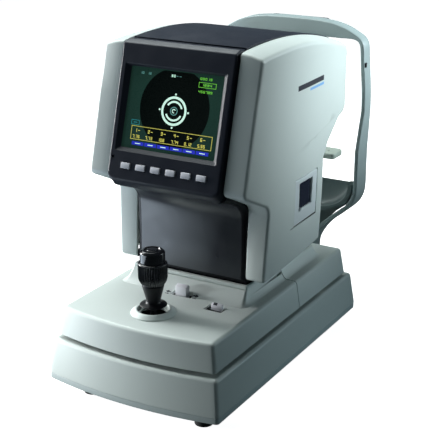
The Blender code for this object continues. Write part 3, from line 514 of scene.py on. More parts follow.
def build_base():
    low = between(BASE_LOW, BASE_TOP, BASE_LOW[0])
    outline = tier_outline(low, PLATE_INSET)
    plate = as_object("base_plate_rim", pillow(outline, "Z", PLATE_LOW, BASE_LOW[0] - GAP, 0.0012, 3))
    for place in PLATE_SCREWS:
        carve(plate, turned([(0.0, 0.026), (0.0042, 0.026), (0.0024, 0.0284), (0.0, 0.0284)], place, steps=20))
    piece(plate, "plate", "base", "base_plate")
    screws = [turned([(0.0, 0.0274), (0.0022, 0.0274), (0.0022, 0.0283), (0.0, 0.0283)], place, steps=16)
              for place in PLATE_SCREWS]
    piece(("plate_screws", merge(*screws)), "steel", "base")

    cover = as_object("base_shell", tier_shell(BASE_LOW, BASE_TOP))
    for low_corner, high_corner in (((-0.078, -0.06, 0.07), (0.078, 0.06, 0.09)),
                                    ((-0.1095, 0.17, 0.0485), (-0.0805, 0.195, 0.0705)),
                                    ((-0.0745, 0.17, 0.0515), (-0.0595, 0.195, 0.0735))):
        cut_box(cover, low_corner, high_corner, 0.0008, "Y")
    piece(cover, "cover", "base", "base_cover")

    profile = fillet([(0.0, 0.0), (FOOT_RADIUS, 0.0, 0.0016), (FOOT_RADIUS, 0.009, 0.0016),
                      (0.011, 0.0122, 0.001), (0.007, 0.013, 0.0008), (0.007, PLATE_LOW - GAP),
                      (0.0, PLATE_LOW - GAP)], 4)
    for side, sign in SIDES:
        for end, y in zip(("front", "rear"), FOOT_Y):
            foot = turned(profile, (sign * FOOT_X, y, 0.0), steps=48)
            piece((f"foot_{end}_{side}_rubber", foot), "rubber", "base", f"foot_{end}_{side}")

    inlet = as_object("inlet_body", block((-0.109, 0.16, 0.049), (-0.081, 0.188, 0.07), 0.0006, 0.0006, "Y"))
    carve(inlet, block((-0.112, 0.185, 0.0465), (-0.078, 0.1885, 0.0725), 0.002, 0.0006, "Y"), "UNION")
    socket = fillet([(-0.0845, 0.06, 0.001), (-0.088, 0.0665, 0.001), (-0.102, 0.0665, 0.001),
                     (-0.1055, 0.06, 0.001), (-0.1055, 0.0525, 0.001), (-0.0845, 0.0525, 0.001)], 3)
    carve(inlet, pillow(socket, "Y", 0.168, 0.192))
    piece(inlet, "black", "base", "power_inlet")
    pins = [block((x - 0.0009, 0.1672, z - 0.0022), (x + 0.0009, 0.184, z + 0.0022), 0.0004, 0.0004, "Y")
            for x, z in ((-0.101, 0.058), (-0.095, 0.061), (-0.089, 0.058))]
    piece(("inlet_pins", merge(*pins)), "steel", "base")
    rocker = fillet([(0.176, 0.0535, 0.001), (0.187, 0.0535, 0.0012), (0.1855, 0.0625, 0.01),
                     (0.187, 0.0715, 0.0012), (0.176, 0.0715, 0.001)], 5)
    piece(("rocker", pillow(rocker, "X", -0.0735, -0.0605, 0.0008)), "gloss", "power_switch",
          "power_switch")


def curb_ring(half, front, rear, radius, z, front_z=None):
    """Ring round the head's well; it stands higher along its front, as the sill under the front panel."""
    rise = 0.0 if front_z is None else front_z - z
    ring = []
    for x, y in rectangle(-half, front, half, rear, radius):
        ring.append((x, y, z + rise * clamp((front + 0.0045 - y) / 0.0025)))
    return ring


def curb():
    rings = [curb_ring(0.101, -0.112, 0.126, 0.012, 0.1275), curb_ring(0.1, CURB_FRONT, 0.125, 0.0115, 0.1291)]
    for k in range(1, 9):
        t = k / 8
        bend = t ** CURB_BEND
        rings.append(curb_ring(0.1 - 0.0098 * t, CURB_FRONT + CURB_RUN * t, 0.125 - 0.009 * t,
                               0.0115 - 0.009 * t, 0.1291 + 0.0125 * bend, 0.1291 + SILL_RISE * bend))
    rings += [curb_ring(*row) for row in (
        (0.09, -0.0888, 0.1158, 0.0024, 0.1418, 0.1458),
        (0.0899, -0.0866, 0.1156, 0.0022, 0.1419, 0.1457),
        (0.0898, -0.0866, 0.1155, 0.0021, 0.1421, 0.1467),
        (0.0897, -0.0884, 0.1154, 0.002, 0.1424, 0.1469),
        (0.0895, -0.0881, 0.1152, 0.0018, 0.1427, 0.15),
        (0.089, -0.0873, 0.1147, 0.0015, 0.1429, 0.1508),
        (0.0882, -0.0865, 0.114, 0.0012, 0.143, 0.1511),
        (0.0862, -0.0825, 0.112, 0.001, 0.143, 0.1511),
        (0.0855, -0.0815, 0.1112, 0.001, 0.1425, 0.1505),
        (0.0855, -0.0815, 0.1112, 0.001, 0.126))]
    return loft(rings, closed=True)


def build_stage():
    whole = as_object("stage_whole", tier_shell(STAGE_LOW, STAGE_TOP))
    cut_box(whole, (-0.087, -0.084, 0.12), (0.087, 0.113, 0.135), 0.0006)
    carve(whole, curb(), "UNION")
    rear = as_object("rear_tool", bmesh.new())
    rear.data = whole.data.copy()
    rear.name = "stage_shell_rear"
    whole.name = "stage_shell_front"
    carve(rear, block((-0.2, STAGE_SEAM_Y + SEAM / 2, 0.08), (0.2, 0.2, 0.2), 0.0, 0.0), "INTERSECT")
    carve(whole, block((-0.2, -0.3, 0.08), (0.2, STAGE_SEAM_Y - SEAM / 2, 0.2), 0.0, 0.0), "INTERSECT")
    carve(whole, rod(0.0175, 0.115, 0.14, (0.0, STICK_Y, 0.0)))
    slot = [(-0.015, LEVER_Y - 0.0093), (0.018, LEVER_Y - 0.0093), (0.0162, LEVER_Y + 0.0036),
            (-0.0132, LEVER_Y + 0.0036)]
    carve(whole, pillow(eased(slot, 0.0012, 3), "Z", 0.124, 0.145))
    key_x, key_y = STAGE_KEY
    cut_box(whole, (key_x - 0.0135, key_y - 0.0085, 0.12), (key_x + 0.0135, key_y + 0.0085, 0.135), 0.001)
    piece(whole, "cover", "stage", "stage_cover_front", angle=38)
    piece(rear, "cover", "stage", "stage_cover_rear", angle=38)

    ring = fillet([(0.0205, 0.1292), (0.03, 0.1292), (0.03, 0.1303, 0.0006), (0.0238, 0.1347, 0.001),
                   (0.0214, 0.1347, 0.0008), (0.0205, 0.1325, 0.0004)], 4)
    piece(("stick_bezel", turned(ring, (0.0, STICK_Y, 0.0), steps=96)), "cover", "stage", "joystick_bezel")

    tray = as_object("lever_slot_tray", pillow(eased(slot, 0.0012, 3), "Z", 0.1192, 0.1262))
    carve(tray, pillow(eased(offset(slot, 0.0006), 0.001, 3), "Z", 0.1202, 0.13))
    piece(tray, "black", "stage")

    lever = fillet([(LEVER_Y - 0.0075, 0.121), (LEVER_Y + 0.0025, 0.121), (LEVER_Y + 0.0025, 0.1415, 0.001),
                    (LEVER_Y - 0.001, 0.1438, 0.0012), (LEVER_Y - 0.0066, 0.1412, 0.0012)], 4)
    piece(("lock_slider", pillow(lever, "X", -0.007, 0.01, 0.0008)), "white", "lock_lever", "lock_lever")
    # Black block that fills the key's recess round the white tab: painted shade of the recess.
    rocker = as_object("stage_key_well_painted_shade", block((key_x - 0.0125, key_y - 0.0075, 0.1185),
                                                 (key_x + 0.0125, key_y + 0.0075, 0.1262), 0.0015, 0.0009))
    piece(rocker, "black", "stage_key", "stage_key")
    tab = fillet([(key_y + 0.0006, 0.1255), (key_y + 0.0072, 0.1255), (key_y + 0.0072, 0.134, 0.001),
                  (key_y + 0.0052, 0.1346, 0.001), (key_y + 0.0016, 0.129, 0.003)], 4)
    piece(("stage_key_tab", pillow(tab, "X", key_x - 0.0078, key_x + 0.0088, 0.001)), "white", "stage_key",
          "stage_key")
    mark = fillet([(key_y + 0.0056, 0.134), (key_y + 0.006, 0.134), (key_y + 0.006, 0.1349),
                   (key_y + 0.0052, 0.1349), (key_y + 0.0034, 0.1321), (key_y + 0.004, 0.1317)])
    piece(("stage_key_mark", pillow(mark, "X", key_x - 0.005, key_x + 0.0005)), "ink", "stage_key")
    marks = []
    for tip, tail, y in ((0.0262, 0.0218, LEVER_Y - 0.001), (-0.0242, -0.0198, LEVER_Y - 0.0035)):
        wide = copysign(0.0027, tip - tail)
        marks.append(pillow([(tip, y), (tail, y + wide), (tail, y - wide)], "Z", 0.1289, 0.1293))
        marks.append(block((min(tail, tail - 1.4 * wide), y - 0.0008, 0.1289),
                           (max(tail, tail - 1.4 * wide), y + 0.0008, 0.1293), 0.0002, 0.0))
        marks.append(block((tail - 0.002, y - 0.0068, 0.1289), (tail + 0.0034, y - 0.0052, 0.1293), 0.0002, 0.0))
    for bm in marks:
        for vert in bm.verts:
            vert.co.z += SILL_RISE * clamp((vert.co.y - CURB_FRONT) / CURB_RUN) ** CURB_BEND
    return marks


build_base()
STAGE_MARKS = build_stage()


# ---------------------------------------------------------------- joystick
def build_joystick():
    centre = (0.0, STICK_Y, 0.0)
    stick = fillet([(0.0, 0.0875), (0.005, 0.089, 0.001), (0.0078, 0.0945, 0.002), (0.0045, 0.103, 0.002),
                    (0.0045, 0.1385), (0.0165, 0.1392, 0.0004), (0.0185, 0.1405, 0.0006),
                    (0.0168, 0.1418, 0.002), (0.0102, 0.1436, 0.002), (0.0094, 0.147, 0.003),
                    (0.0148, 0.168, 0.001), (0.0148, 0.17, 0.0003), (0.008, 0.17), (0.008, 0.198),
                    (0.0, 0.198)], 5)
    piece(("stick_cone", turned(stick, centre)), "cone", "joystick", "joystick_stick")
    grip = [(0.0084, 0.1703), (0.015, 0.1703), (0.0158, 0.1708), (0.017, 0.1725), (0.0182, 0.175),
            (0.0189, 0.178), (0.0192, 0.18), (0.0193, 0.188), (0.0193, 0.1972), (0.0192, 0.1984),
            (0.0187, 0.1992), (0.0178, 0.1998), (0.0172, 0.2), (0.0169, 0.198), (0.0084, 0.198)]
    piece(("stick_grip", turned(grip, centre, steps=360, ribs=(36, 0.0014, 0.1712, 0.1979))), "grip",
          "joystick_grip", "joystick_grip")
    button = fillet([(0.0, 0.2003), (0.0162, 0.2003, 0.0004), (0.0166, 0.2008, 0.0004), (0.0164, 0.2138, 0.002),
                     (0.0134, 0.2166, 0.0012), (0.0104, 0.2171, 0.0003), (0.0096, 0.2156, 0.0003),
                     (0.008, 0.2156, 0.0003), (0.0074, 0.2171, 0.0008), (0.0, 0.2176)], 4)
    piece(("stick_cap", turned(button, centre)), "gloss", "joystick_button", "joystick_button")
    gimbal = eased([(0.0085, 0.106), (0.0125, 0.106), (0.0125, 0.114), (0.0085, 0.114)], 0.0008, 3)
    piece(("stick_gimbal", turned(gimbal, centre)), "steel", "joystick_gimbal", "joystick_gimbal")


build_joystick()


# ---------------------------------------------------------------- head
def crest(y):
    """Height of the head's top over y."""
    fall = 0.00077 if y > CREST_Y else 0.0005
    return HEAD_TOP - fall * (1000 * (y - CREST_Y)) ** 2 / 1000


HEAD_BACK = [(0.094, 0.166, 0.006), (0.098, 0.278), (0.1045, 0.304, 0.012), (0.15, 0.333, 0.01),
             (HEAD_REAR_Y, 0.342, 0.01), (HEAD_REAR_Y, crest(HEAD_REAR_Y), 0.012)]


def head_profile():
    corners = [(-0.086, HEAD_LOW, 0.006), *HEAD_BACK]
    corners += [(y / 1000, crest(y / 1000)) for y in range(158, -93, -10)]
    corners += [(-0.1015, 0.4655, 0.0055), (-0.147, 0.294, 0.009), (-0.079, 0.262, 0.016)]
    return fillet(corners)


def head_half_width(y, z, full):
    """Half width at (y, z): a slight taper rearwards and downwards, rounded off towards the rear edge."""
    half = full - 0.01 * (max(y + 0.06, 0.0) / 0.246) ** 2
    half -= 0.004 * max((0.25 - z) / 0.09, 0.0)
    rear = HEAD_REAR_Y if z > NOTCH_Z else 0.096 + max(z - 0.29, 0.0) * 2.0
    reach = REAR_ROUND if z > NOTCH_Z else 0.01
    short = max(y - (rear - reach), 0.0)
    return half - (reach - sqrt(max(reach ** 2 - min(short, reach) ** 2, 0.0))) * 0.7


def crease(y, z):
    """Inward step under the line that runs forward from the rear notch, fading forwards and down."""
    line = NOTCH_Z - CREASE_SLOPE * (NOTCH_Y - y)
    return 0.0011 * ramp(y, -0.01, 0.05) * ramp(line - z, 0.0, 0.0016) * (1.0 - ramp(line - z, 0.002, 0.05))


def warp_head(bm, full, outer):
    for vert in bm.verts:
        x, y, z = vert.co
        out = max((abs(x) - HEAD_INNER) / (HEAD_OUTER - HEAD_INNER), 0.0)
        half = head_half_width(y, z, full)
        if outer and abs(x) > full - 0.004:
            half -= crease(y, z)
        vert.co.x = copysign(HEAD_INNER + (abs(x) - HEAD_INNER) * (half - HEAD_INNER) / (full - HEAD_INNER), x)
        top = clamp((z - 0.4) / 0.03)
        vert.co.z = z - 0.007 * out ** 2 * top


def slice_mesh(bm, point, normal):
    geometry = bm.verts[:] + bm.edges[:] + bm.faces[:]
    bmesh.ops.bisect_plane(bm, geom=geometry, plane_co=point, plane_no=normal, dist=1e-6)


def head_side(sign, inset):
    """One closed half form from the inner lip out to the rounded side; inset gives its inner face."""
    profile = head_profile()
    base = offset(profile, inset) if inset else profile
    full = HEAD_OUTER - inset
    lip = 0.0 if inset else 0.0016
    start = HEAD_INNER - (0.002 if inset else 0.0)
    edge = 0.0045 - inset
    rings = []
    for depth, shrink in ease_steps(lip, 4) if lip else [(0.0, 0.0)]:
        rings.append(lift(offset(base, shrink), "X", sign * (start + depth)))
    rings.append(lift(base, "X", sign * (full - 0.018)))
    for depth, shrink in reversed(ease_steps(edge, 6)):
        rings.append(lift(offset(base, shrink), "X", sign * (full - depth)))
    bm = loft(rings)
    for y in (*range(-136, 186, 24 if inset else 9), 160, 168, 172, 176, 180, 183):
        slice_mesh(bm, (0.0, y / 1000, 0.0), (0.0, 1.0, 0.0))
    levels = (250, 290, 334, 336, 400, 430) if inset else (*range(170, 330, 12), 334, 336, *range(348, 460, 14))
    for z in levels:
        slice_mesh(bm, (0.0, 0.0, z / 1000), (0.0, 0.0, 1.0))
    if not inset:
        along = Vector((0.0, 1.0, CREASE_SLOPE)).normalized()
        normal = Vector((0.0, -along.z, along.y))
        for drop in (0.0, 0.0006, 0.0016, 0.006, 0.014):
            slice_mesh(bm, (0.0, NOTCH_Y, NOTCH_Z - drop), normal)
    warp_head(bm, full, not inset)
    return bm


def build_head():
    for side, sign in SIDES:
        shell = as_object(f"head_shell_{side}", head_side(sign, 0.0))
        carve(shell, head_side(sign, WALL))
        near, far = sorted((sign * 0.08, sign * (HEAD_OUTER - 0.009)))
        cut_box(shell, (near, -0.081, 0.14), (far, 0.088, 0.168), 0.001)
        if side == "right":
            y0, y1, z0, z1 = DOOR
            cut_box(shell, (0.095, y0, z0 - DOOR_SEAM), (0.14, y1, z1), 0.0022, "X")
            cut_box(shell, (0.1125, y0 - 0.01, z0 - DOOR_SEAM - 0.0002), (0.14, y1, z0 - 0.0002), 0.0004, "X")
        piece(shell, "cover", "head", f"side_cover_{side}")

    top_path = [(y / 1000, crest(y / 1000) + TOP_STAND) for y in range(163, -84, -6)]
    piece(("top_strip", pillow(strip(top_path, WALL), "X", -TOP_HALF, TOP_HALF, 0.0012)), "dark", "head",
          "top_cover")

    rear_path = fillet([(0.0885, 0.164), *HEAD_BACK, (0.1645, crest(0.1645))])
    rear = as_object("rear_shell", pillow(strip(rear_path, WALL), "X", -0.086, 0.086, 0.0012))
    carve(rear, rod(0.0225, 0.15, 0.21, (0.0, 0.0, OPTIC_Z), "Y", 96))
    piece(rear, "cover", "head", "rear_cover")


build_head()


def build_bezel():
    outer = fillet([(*BEZEL_FOOT, 0.007), (-0.142, 0.2815, 0.004), (-0.084, 0.285, 0.001),
                    (-0.084, crest(-0.084), 0.001), (-0.096, 0.4685, 0.004), (-0.107, 0.465, 0.004)])
    along = Vector((0.2688, 0.9632))
    corner, edge = 0.01, 0.0022
    ends = sorted(set([d for d, _ in ease_steps(edge, 4)] + [d for d, _ in ease_steps(corner, 8)]))
    rings = []
    for sign in (-1, 1):
        for depth in (ends if sign < 0 else reversed(ends)):
            shrink = edge - sqrt(max(edge ** 2 - max(edge - depth, 0.0) ** 2, 0.0))
            rise = corner - sqrt(max(corner ** 2 - max(corner - depth, 0.0) ** 2, 0.0))
            ring = []
            for y, z in offset(outer, shrink):
                height = (Vector((y, z)) - Vector(BEZEL_FOOT)).dot(along)
                lifted = rise * (1.0 - ramp(height, 0.0, 0.034))
                ring.append((sign * (TOP_HALF - depth), y + along.x * lifted, z + along.y * lifted))
            rings.append(ring)
    bezel = as_object("bezel_shell", loft(rings))
    inner = [(-0.148, 0.304), (-0.14, 0.285), (-0.07, 0.288), (-0.07, 0.465), (-0.096, 0.465), (-0.103, 0.461)]
    carve(bezel, pillow(inner, "X", -TOP_HALF + 0.005, TOP_HALF - 0.005))
    left, right, low, high = RECESS
    d_left, d_right, d_low, d_high = DISPLAY
    rings = []
    for depth, x0, x1, s0, s1 in ((-0.002, left - 0.001, right + 0.001, low - 0.001, high + 0.001),
                                  (-0.0001, left - 0.0006, right + 0.0006, low - 0.0006, high + 0.0006),
                                  (0.0004, left, right, low, high), (0.0064, d_left, d_right, d_low, d_high)):
        rings.append(lift(rectangle(x0, s0, x1, s1, 0.0018, 4), "Y", depth))
    carve(bezel, in_plane(loft(rings)))
    for x in key_places():
        wide, tall = KEY_SIZE[0] / 2 + 0.0006, KEY_SIZE[1] / 2 + 0.0006
        hole = rectangle(x - wide, KEY_HEIGHT - tall, x + wide, KEY_HEIGHT + tall, 0.0012, 4)
        rim = offset(hole, -0.0006)
        carve(bezel, in_plane(loft([lift(rim, "Y", -0.002), lift(rim, "Y", -0.0001), lift(hole, "Y", 0.0005),
                                    lift(hole, "Y", 0.012)])))
    carve(bezel, in_plane(turned([(0.0, -0.002), (0.0026, -0.002), (0.0023, 0.0006), (0.002, 0.003), (0.0, 0.003)],
                                 (-0.0784, 0.0, 0.0302), "Y", 32)))
    piece(bezel, "dark", "head", "front_bezel")

    for number, x in enumerate(key_places(), start=1):
        wide, tall = KEY_SIZE[0] / 2, KEY_SIZE[1] / 2
        cap = in_plane(block((x - wide, -0.0014, KEY_HEIGHT - tall), (x + wide, 0.0055, KEY_HEIGHT + tall),
                             0.001, 0.0008, "Y"))
        piece((f"key_cap_{number}", cap), "white", f"key_{number}", f"key_{number}")

    build_lower_panel()


def build_lower_panel():
    """Thin panel whose sides turn back into the head."""
    face = [(-0.14, 0.281), (-0.115, 0.2725), (-0.0965, 0.263), (-0.087, 0.252), (-0.0838, 0.238),
            (-0.0834, 0.2), (-0.0842, 0.178), (-0.0848, 0.1578)]
    path = smooth_path(face)
    normals = path_normals(path, False)

    def sweep(section):
        """Carry (x, depth) points along the path; the flange gets deeper down the upright part."""
        rings = []
        for (y, z), n in zip(path, normals):
            deeper = PANEL_FLANGE * ramp(0.262 - z, 0.0, 0.03)
            rings.append([(x, y + n.x * (d + deeper * (d > 0.007)), z + n.y * (d + deeper * (d > 0.007)))
                          for x, d in section])
        return loft(rings)

    arc = [pi / 2 * k / 6 for k in range(7)]
    half, turn_back, wall = 0.086, 0.0066, 0.0018
    split = half - turn_back - 0.0002
    face = sweep(fillet([(split, 0.0, 0.0006), (split, wall), (-split, wall), (-split, 0.0, 0.0006)], 3))
    piece(("lower_panel", face), "panel", "head", "lower_front_panel")
    skirt = block((-0.0838, -0.0792, 0.118), (0.0838, -0.0772, 0.164), 0.0008, 0.0006)
    piece(("panel_skirt", skirt), "cone", "head", "lower_front_panel")
    # The turned-back sides and their feet are near black: partly the panel's real sides, partly painted shade that
    # fills the gaps between the panel, the side covers and the curb.
    for side, sign in SIDES:
        outer = [(half - turn_back + turn_back * sin(t), 0.0004 + turn_back - turn_back * cos(t)) for t in arc]
        inner = [(half - turn_back + (turn_back - wall) * sin(t), 0.0004 + turn_back - (turn_back - wall) * cos(t))
                 for t in reversed(arc)]
        roll = outer + [(half, 0.008), (half - wall, 0.008)] + inner
        near, far = sorted((sign * 0.085, sign * 0.0885))
        foot = block((near, -0.0835, 0.1592), (far, -0.03, 0.169), 0.0008, 0.0006)
        piece((f"panel_border_{side}", merge(sweep([(sign * x, d) for x, d in roll]), foot)), "cone", "head",
              "lower_front_panel")


def key_places():
    return [(k - 2.5) * KEY_PITCH for k in range(6)]


build_bezel()


# ---------------------------------------------------------------- display picture
FRONT = 0.0062  # depth of the picture behind the display plane
SEGMENTS = {"0": "abcdef", "1": "bc", "2": "abged", "3": "abgcd", "4": "fgbc", "5": "afgcd", "6": "afgedc",
            "7": "abc", "8": "abcdefg", "9": "abcdfg", "-": "g", "+": "gv", ".": "p"}


def bar(x0, s0, x1, s1, raise_by=0.00012):
    return block((min(x0, x1), FRONT - raise_by, min(s0, s1)), (max(x0, x1), FRONT + 0.0002, max(s0, s1)), 0.0, 0.0)


def digits(text, x, s, width, height, pen):
    """Seven-segment numbers."""
    bars = []
    for sign in text:
        mid, top = s + height / 2, s + height
        right = x + width
        centre = x + width / 2
        shapes = {"a": (x, top - pen, right, top), "b": (right - pen, mid, right, top),
                  "c": (right - pen, s, right, mid), "d": (x, s, right, s + pen), "e": (x, s, x + pen, mid),
                  "f": (x, mid, x + pen, top), "g": (x, mid - pen / 2, right, mid + pen / 2),
                  "p": (x, s, x + pen, s + pen),
                  "v": (centre - pen / 2, mid - width / 2, centre + pen / 2, mid + width / 2)}
        bars += [bar(*shapes[k]) for k in SEGMENTS.get(sign, "")]
        x += (pen * 2 if sign == "." else width + pen * 1.3)
    return bars


def frame_bars(x0, s0, x1, s1, pen):
    return [bar(x0, s0, x1, s0 + pen), bar(x0, s1 - pen, x1, s1), bar(x0, s0, x0 + pen, s1),
            bar(x1 - pen, s0, x1, s1)]


def band(radius, width, x, s, start=0.0, sweep=tau, steps=72, raise_by=0.00018):
    """Flat ring or arc."""
    near, far = radius - width / 2, radius + width / 2
    if sweep >= tau:
        profile = [(near, -raise_by), (far, -raise_by), (far, 0.0002), (near, 0.0002)]
        return turned(profile, (x, FRONT, s), "Y", steps)
    turns = [start + sweep * k / steps for k in range(steps + 1)]
    outline = [(x + far * cos(t), s + far * sin(t)) for t in turns]
    outline += [(x + near * cos(t), s + near * sin(t)) for t in reversed(turns)]
    return pillow(outline, "Y", FRONT - raise_by, FRONT + 0.0002)


def numbers(pen, *rows):
    """Rows of (text, x, height on the plane, digit width, digit height)."""
    return [shape for row in rows for shape in digits(*row, pen)]


def show(name, mat, shapes):
    piece((name, in_plane(merge(*shapes))), mat, "head")


def build_picture():
    panel = block((-0.0725, 0.0063, 0.043), (0.0725, 0.0135, 0.153), 0.001, 0.0004, "Y")
    piece(("display_glass", in_plane(panel)), "screen", "head", "display_panel")
    circle = [(0.001 + 0.0515 * cos(t), 0.102 + 0.0515 * sin(t)) for t in (tau * k / 96 for k in range(96))]
    pupil = [(x, clamp(s, 0.0482, 0.1488)) for x, s in circle]
    show("picture_pupil", "pupil", [pillow(pupil, "Y", FRONT - 0.00005, FRONT + 0.0002)])
    mire = [band(0.0172, 0.003, 0.001, 0.099), band(0.0118, 0.0024, 0.001, 0.099, 0.35, 2.2, 30),
            band(0.0118, 0.0024, 0.001, 0.099, 3.55, 2.3, 30), band(0.0022, 0.0011, 0.001, 0.099, 0.4, 4.6, 20)]
    for dx, ds in ((0.0, 0.0212), (0.0, -0.0212), (0.0212, 0.0), (-0.0212, 0.0)):
        mire.append(band(0.0007, 0.0013, 0.001 + dx, 0.099 + ds, steps=16))
    mire += numbers(0.0006, ("8", -0.0087, 0.1415, 0.0022, 0.0032), ("0", -0.0052, 0.1415, 0.0022, 0.0032))
    show("picture_mire", "mire", mire)
    dim = [band(0.005, 0.001, 0.001, 0.099), bar(-0.0018, 0.1428, 0.0012, 0.1434),
           bar(0.003, 0.1428, 0.006, 0.1434)]
    dim += numbers(0.0006, ("10", -0.056, 0.141, 0.0024, 0.003), ("12", -0.045, 0.141, 0.0024, 0.003))
    show("picture_dim", "dim", dim)
    green = frame_bars(0.0323, 0.1328, 0.0578, 0.1396, 0.0007)
    green += numbers(0.0007, ("1234", 0.0365, 0.1347, 0.003, 0.003), ("00019", 0.0335, 0.1424, 0.0027, 0.003))
    green += numbers(0.0006, ("456789", 0.033, 0.1262, 0.0027, 0.003))
    show("picture_green", "green", green)
    yellow = frame_bars(-0.0592, 0.0562, 0.062, 0.0738, 0.0006)
    for k, value in enumerate(("7.76", "7.73", "108", "7.74", "0.12", "5.55")):
        x = -0.056 + 0.0196 * k
        yellow += digits(value, x, 0.0582, 0.0024, 0.004, 0.0007)
        yellow += digits(str(k + 1), x + 0.003, 0.066, 0.0026, 0.0044, 0.0008)
        yellow.append(bar(x + 0.0072, 0.0678, x + 0.0102, 0.0686))
    show("picture_yellow", "yellow", yellow)
    blue, light = [], []
    for k in range(6):
        x = -0.056 + 0.0194 * k
        blue.append(bar(x, 0.049, x + 0.018, 0.0536))
        light.append(bar(x + 0.005, 0.0508, x + 0.013, 0.0518, 0.0002))
    show("picture_blue", "blue", blue)
    show("picture_soft_keys", "mire", light)
    show("picture_cyan", "cyan", frame_bars(-0.0606, 0.075, -0.048, 0.0815,
                                            0.0008) + [bar(-0.057, 0.0776, -0.0516, 0.0788)])


build_picture()


# ---------------------------------------------------------------- printer
def build_printer():
    y0, y1, z0, z1 = DOOR
    outline = fillet([(y1 - 0.0014, z1 - 0.0014, 0.002), (y0 + 0.0005, z1 - 0.0014, 0.002),
                      (y0 + 0.0005, z0 + 0.0002, 0.001), (y1 - 0.0014, z0 + 0.0002, 0.001)], 5)
    door = pillow(outline, "X", 0.1055, 0.118, 0.001)
    for vert in door.verts:
        vert.co.x += head_half_width(vert.co.y, vert.co.z, HEAD_OUTER) - HEAD_OUTER
    door = as_object("printer_door_frame", door)
    window = [(y1 - 0.017, z1 - 0.01, 0.0012), (y0 + 0.016, z1 - 0.01, 0.0012),
              (y0 + 0.016, z0 + 0.016, 0.0012), (y0 + 0.021, z0 + 0.016, 0.0006),
              (y0 + 0.025, z0 + 0.019, 0.0006), (y1 - 0.017, z0 + 0.019, 0.0012)]
    rim = offset([(y, z) for y, z, _ in window], -0.0022)
    wide = fillet([(y, z, radius) for (y, z), (_, _, radius) in zip(rim, window)], 4)
    hole = fillet(window, 4)
    carve(door, loft([lift(wide, "X", 0.13), lift(wide, "X", 0.1168), lift(hole, "X", 0.1146),
                      lift(hole, "X", 0.1085)]))
    piece(door, "trim", "printer_door", "printer_door")
    pane = pillow(offset(hole, 0.0002), "X", 0.1087, 0.1126)
    teeth = []
    for k in range(12):
        y = y0 + 0.0262 + 0.002 * k
        teeth.append(pillow([(y, z0 + 0.0187), (y + 0.0018, z0 + 0.0187), (y + 0.0009, z0 + 0.0206)], "X",
                            0.112, 0.1134))
    piece(("printer_window", pane), "smoke", "printer_door")
    gasket = block((0.112, y0 - 0.009, z0 - DOOR_SEAM - 0.001), (0.1134, y1 + 0.001, z0 - 0.0003), 0.0003, 0.0, "X")
    piece(("door_gasket", gasket), "black", "head")
    piece(("tear_teeth", merge(*teeth)), "steel", "printer_door")


build_printer()


def build_decal():
    """Plain two-bar mark on the right cover."""
    for name, mat, y0, y1, z0, z1 in (("decal_dark", "ink", -0.002, 0.082, 0.401, 0.408),
                                      ("decal_blue", "blue_ink", 0.036, 0.082, 0.395, 0.3985)):
        strip_outline = [(y0 + (y1 - y0) * k / 12, z0) for k in range(13)]
        strip_outline += [(y0 + (y1 - y0) * k / 12, z1) for k in range(12, -1, -1)]
        mark = pillow(strip_outline, "X", HEAD_OUTER - 0.0006, HEAD_OUTER + 0.00012)
        for vert in mark.verts:
            vert.co.x += head_half_width(vert.co.y, vert.co.z, HEAD_OUTER) - HEAD_OUTER
        piece((name, mark), mat, "head")


build_decal()


# ---------------------------------------------------------------- face frame and chinrest
def frame_path():
    """(x, z, thickness) along the band, from the left leg over the arch to the right leg."""
    half = [(x, z, 0.007) for x, z in ((0.0505, 0.09), (0.0515, 0.112), (0.057, 0.126), (0.068, 0.142),
                                       (0.083, 0.157), (0.099, 0.17), (0.112, 0.182), (0.12, 0.195))]
    half += [(FRAME_SIDE, 0.211, 0.0065)]
    half += [(x, z, FRAME_BAND) for x, z in
             (*((FRAME_SIDE, z) for z in (0.24, 0.27, 0.3, 0.33)), (0.1228, 0.36), (MARK_X, 0.398),
              (0.1181, 0.421), (0.116, 0.4298), (0.111, 0.4364))]
    arch = [(0.1033, 0.4413), (0.095, 0.4457), (0.0872, 0.4493), (0.075, 0.4531), (0.063, 0.4556),
            (0.045, 0.4575), (0.025, 0.4584)]
    for before, (x, z) in zip([(0.111, 0.4364)] + arch, arch):
        slope = Vector((before[0] - x, z - before[1])).normalized()
        half.append((x, z, (z - ARCH_LOW) / slope.x))
    half.append((0.0, 0.4587, 0.4587 - ARCH_LOW))
    curve = smooth_path(half, 3)
    return [(-x, z, b) for x, z, b in curve] + [(x, z, b) for x, z, b in reversed(curve[:-1])]


def frame_depth(z):
    t = clamp((z - 0.27) / 0.06)
    return 0.192 + 0.018 * t, 0.228 + 0.006 * t


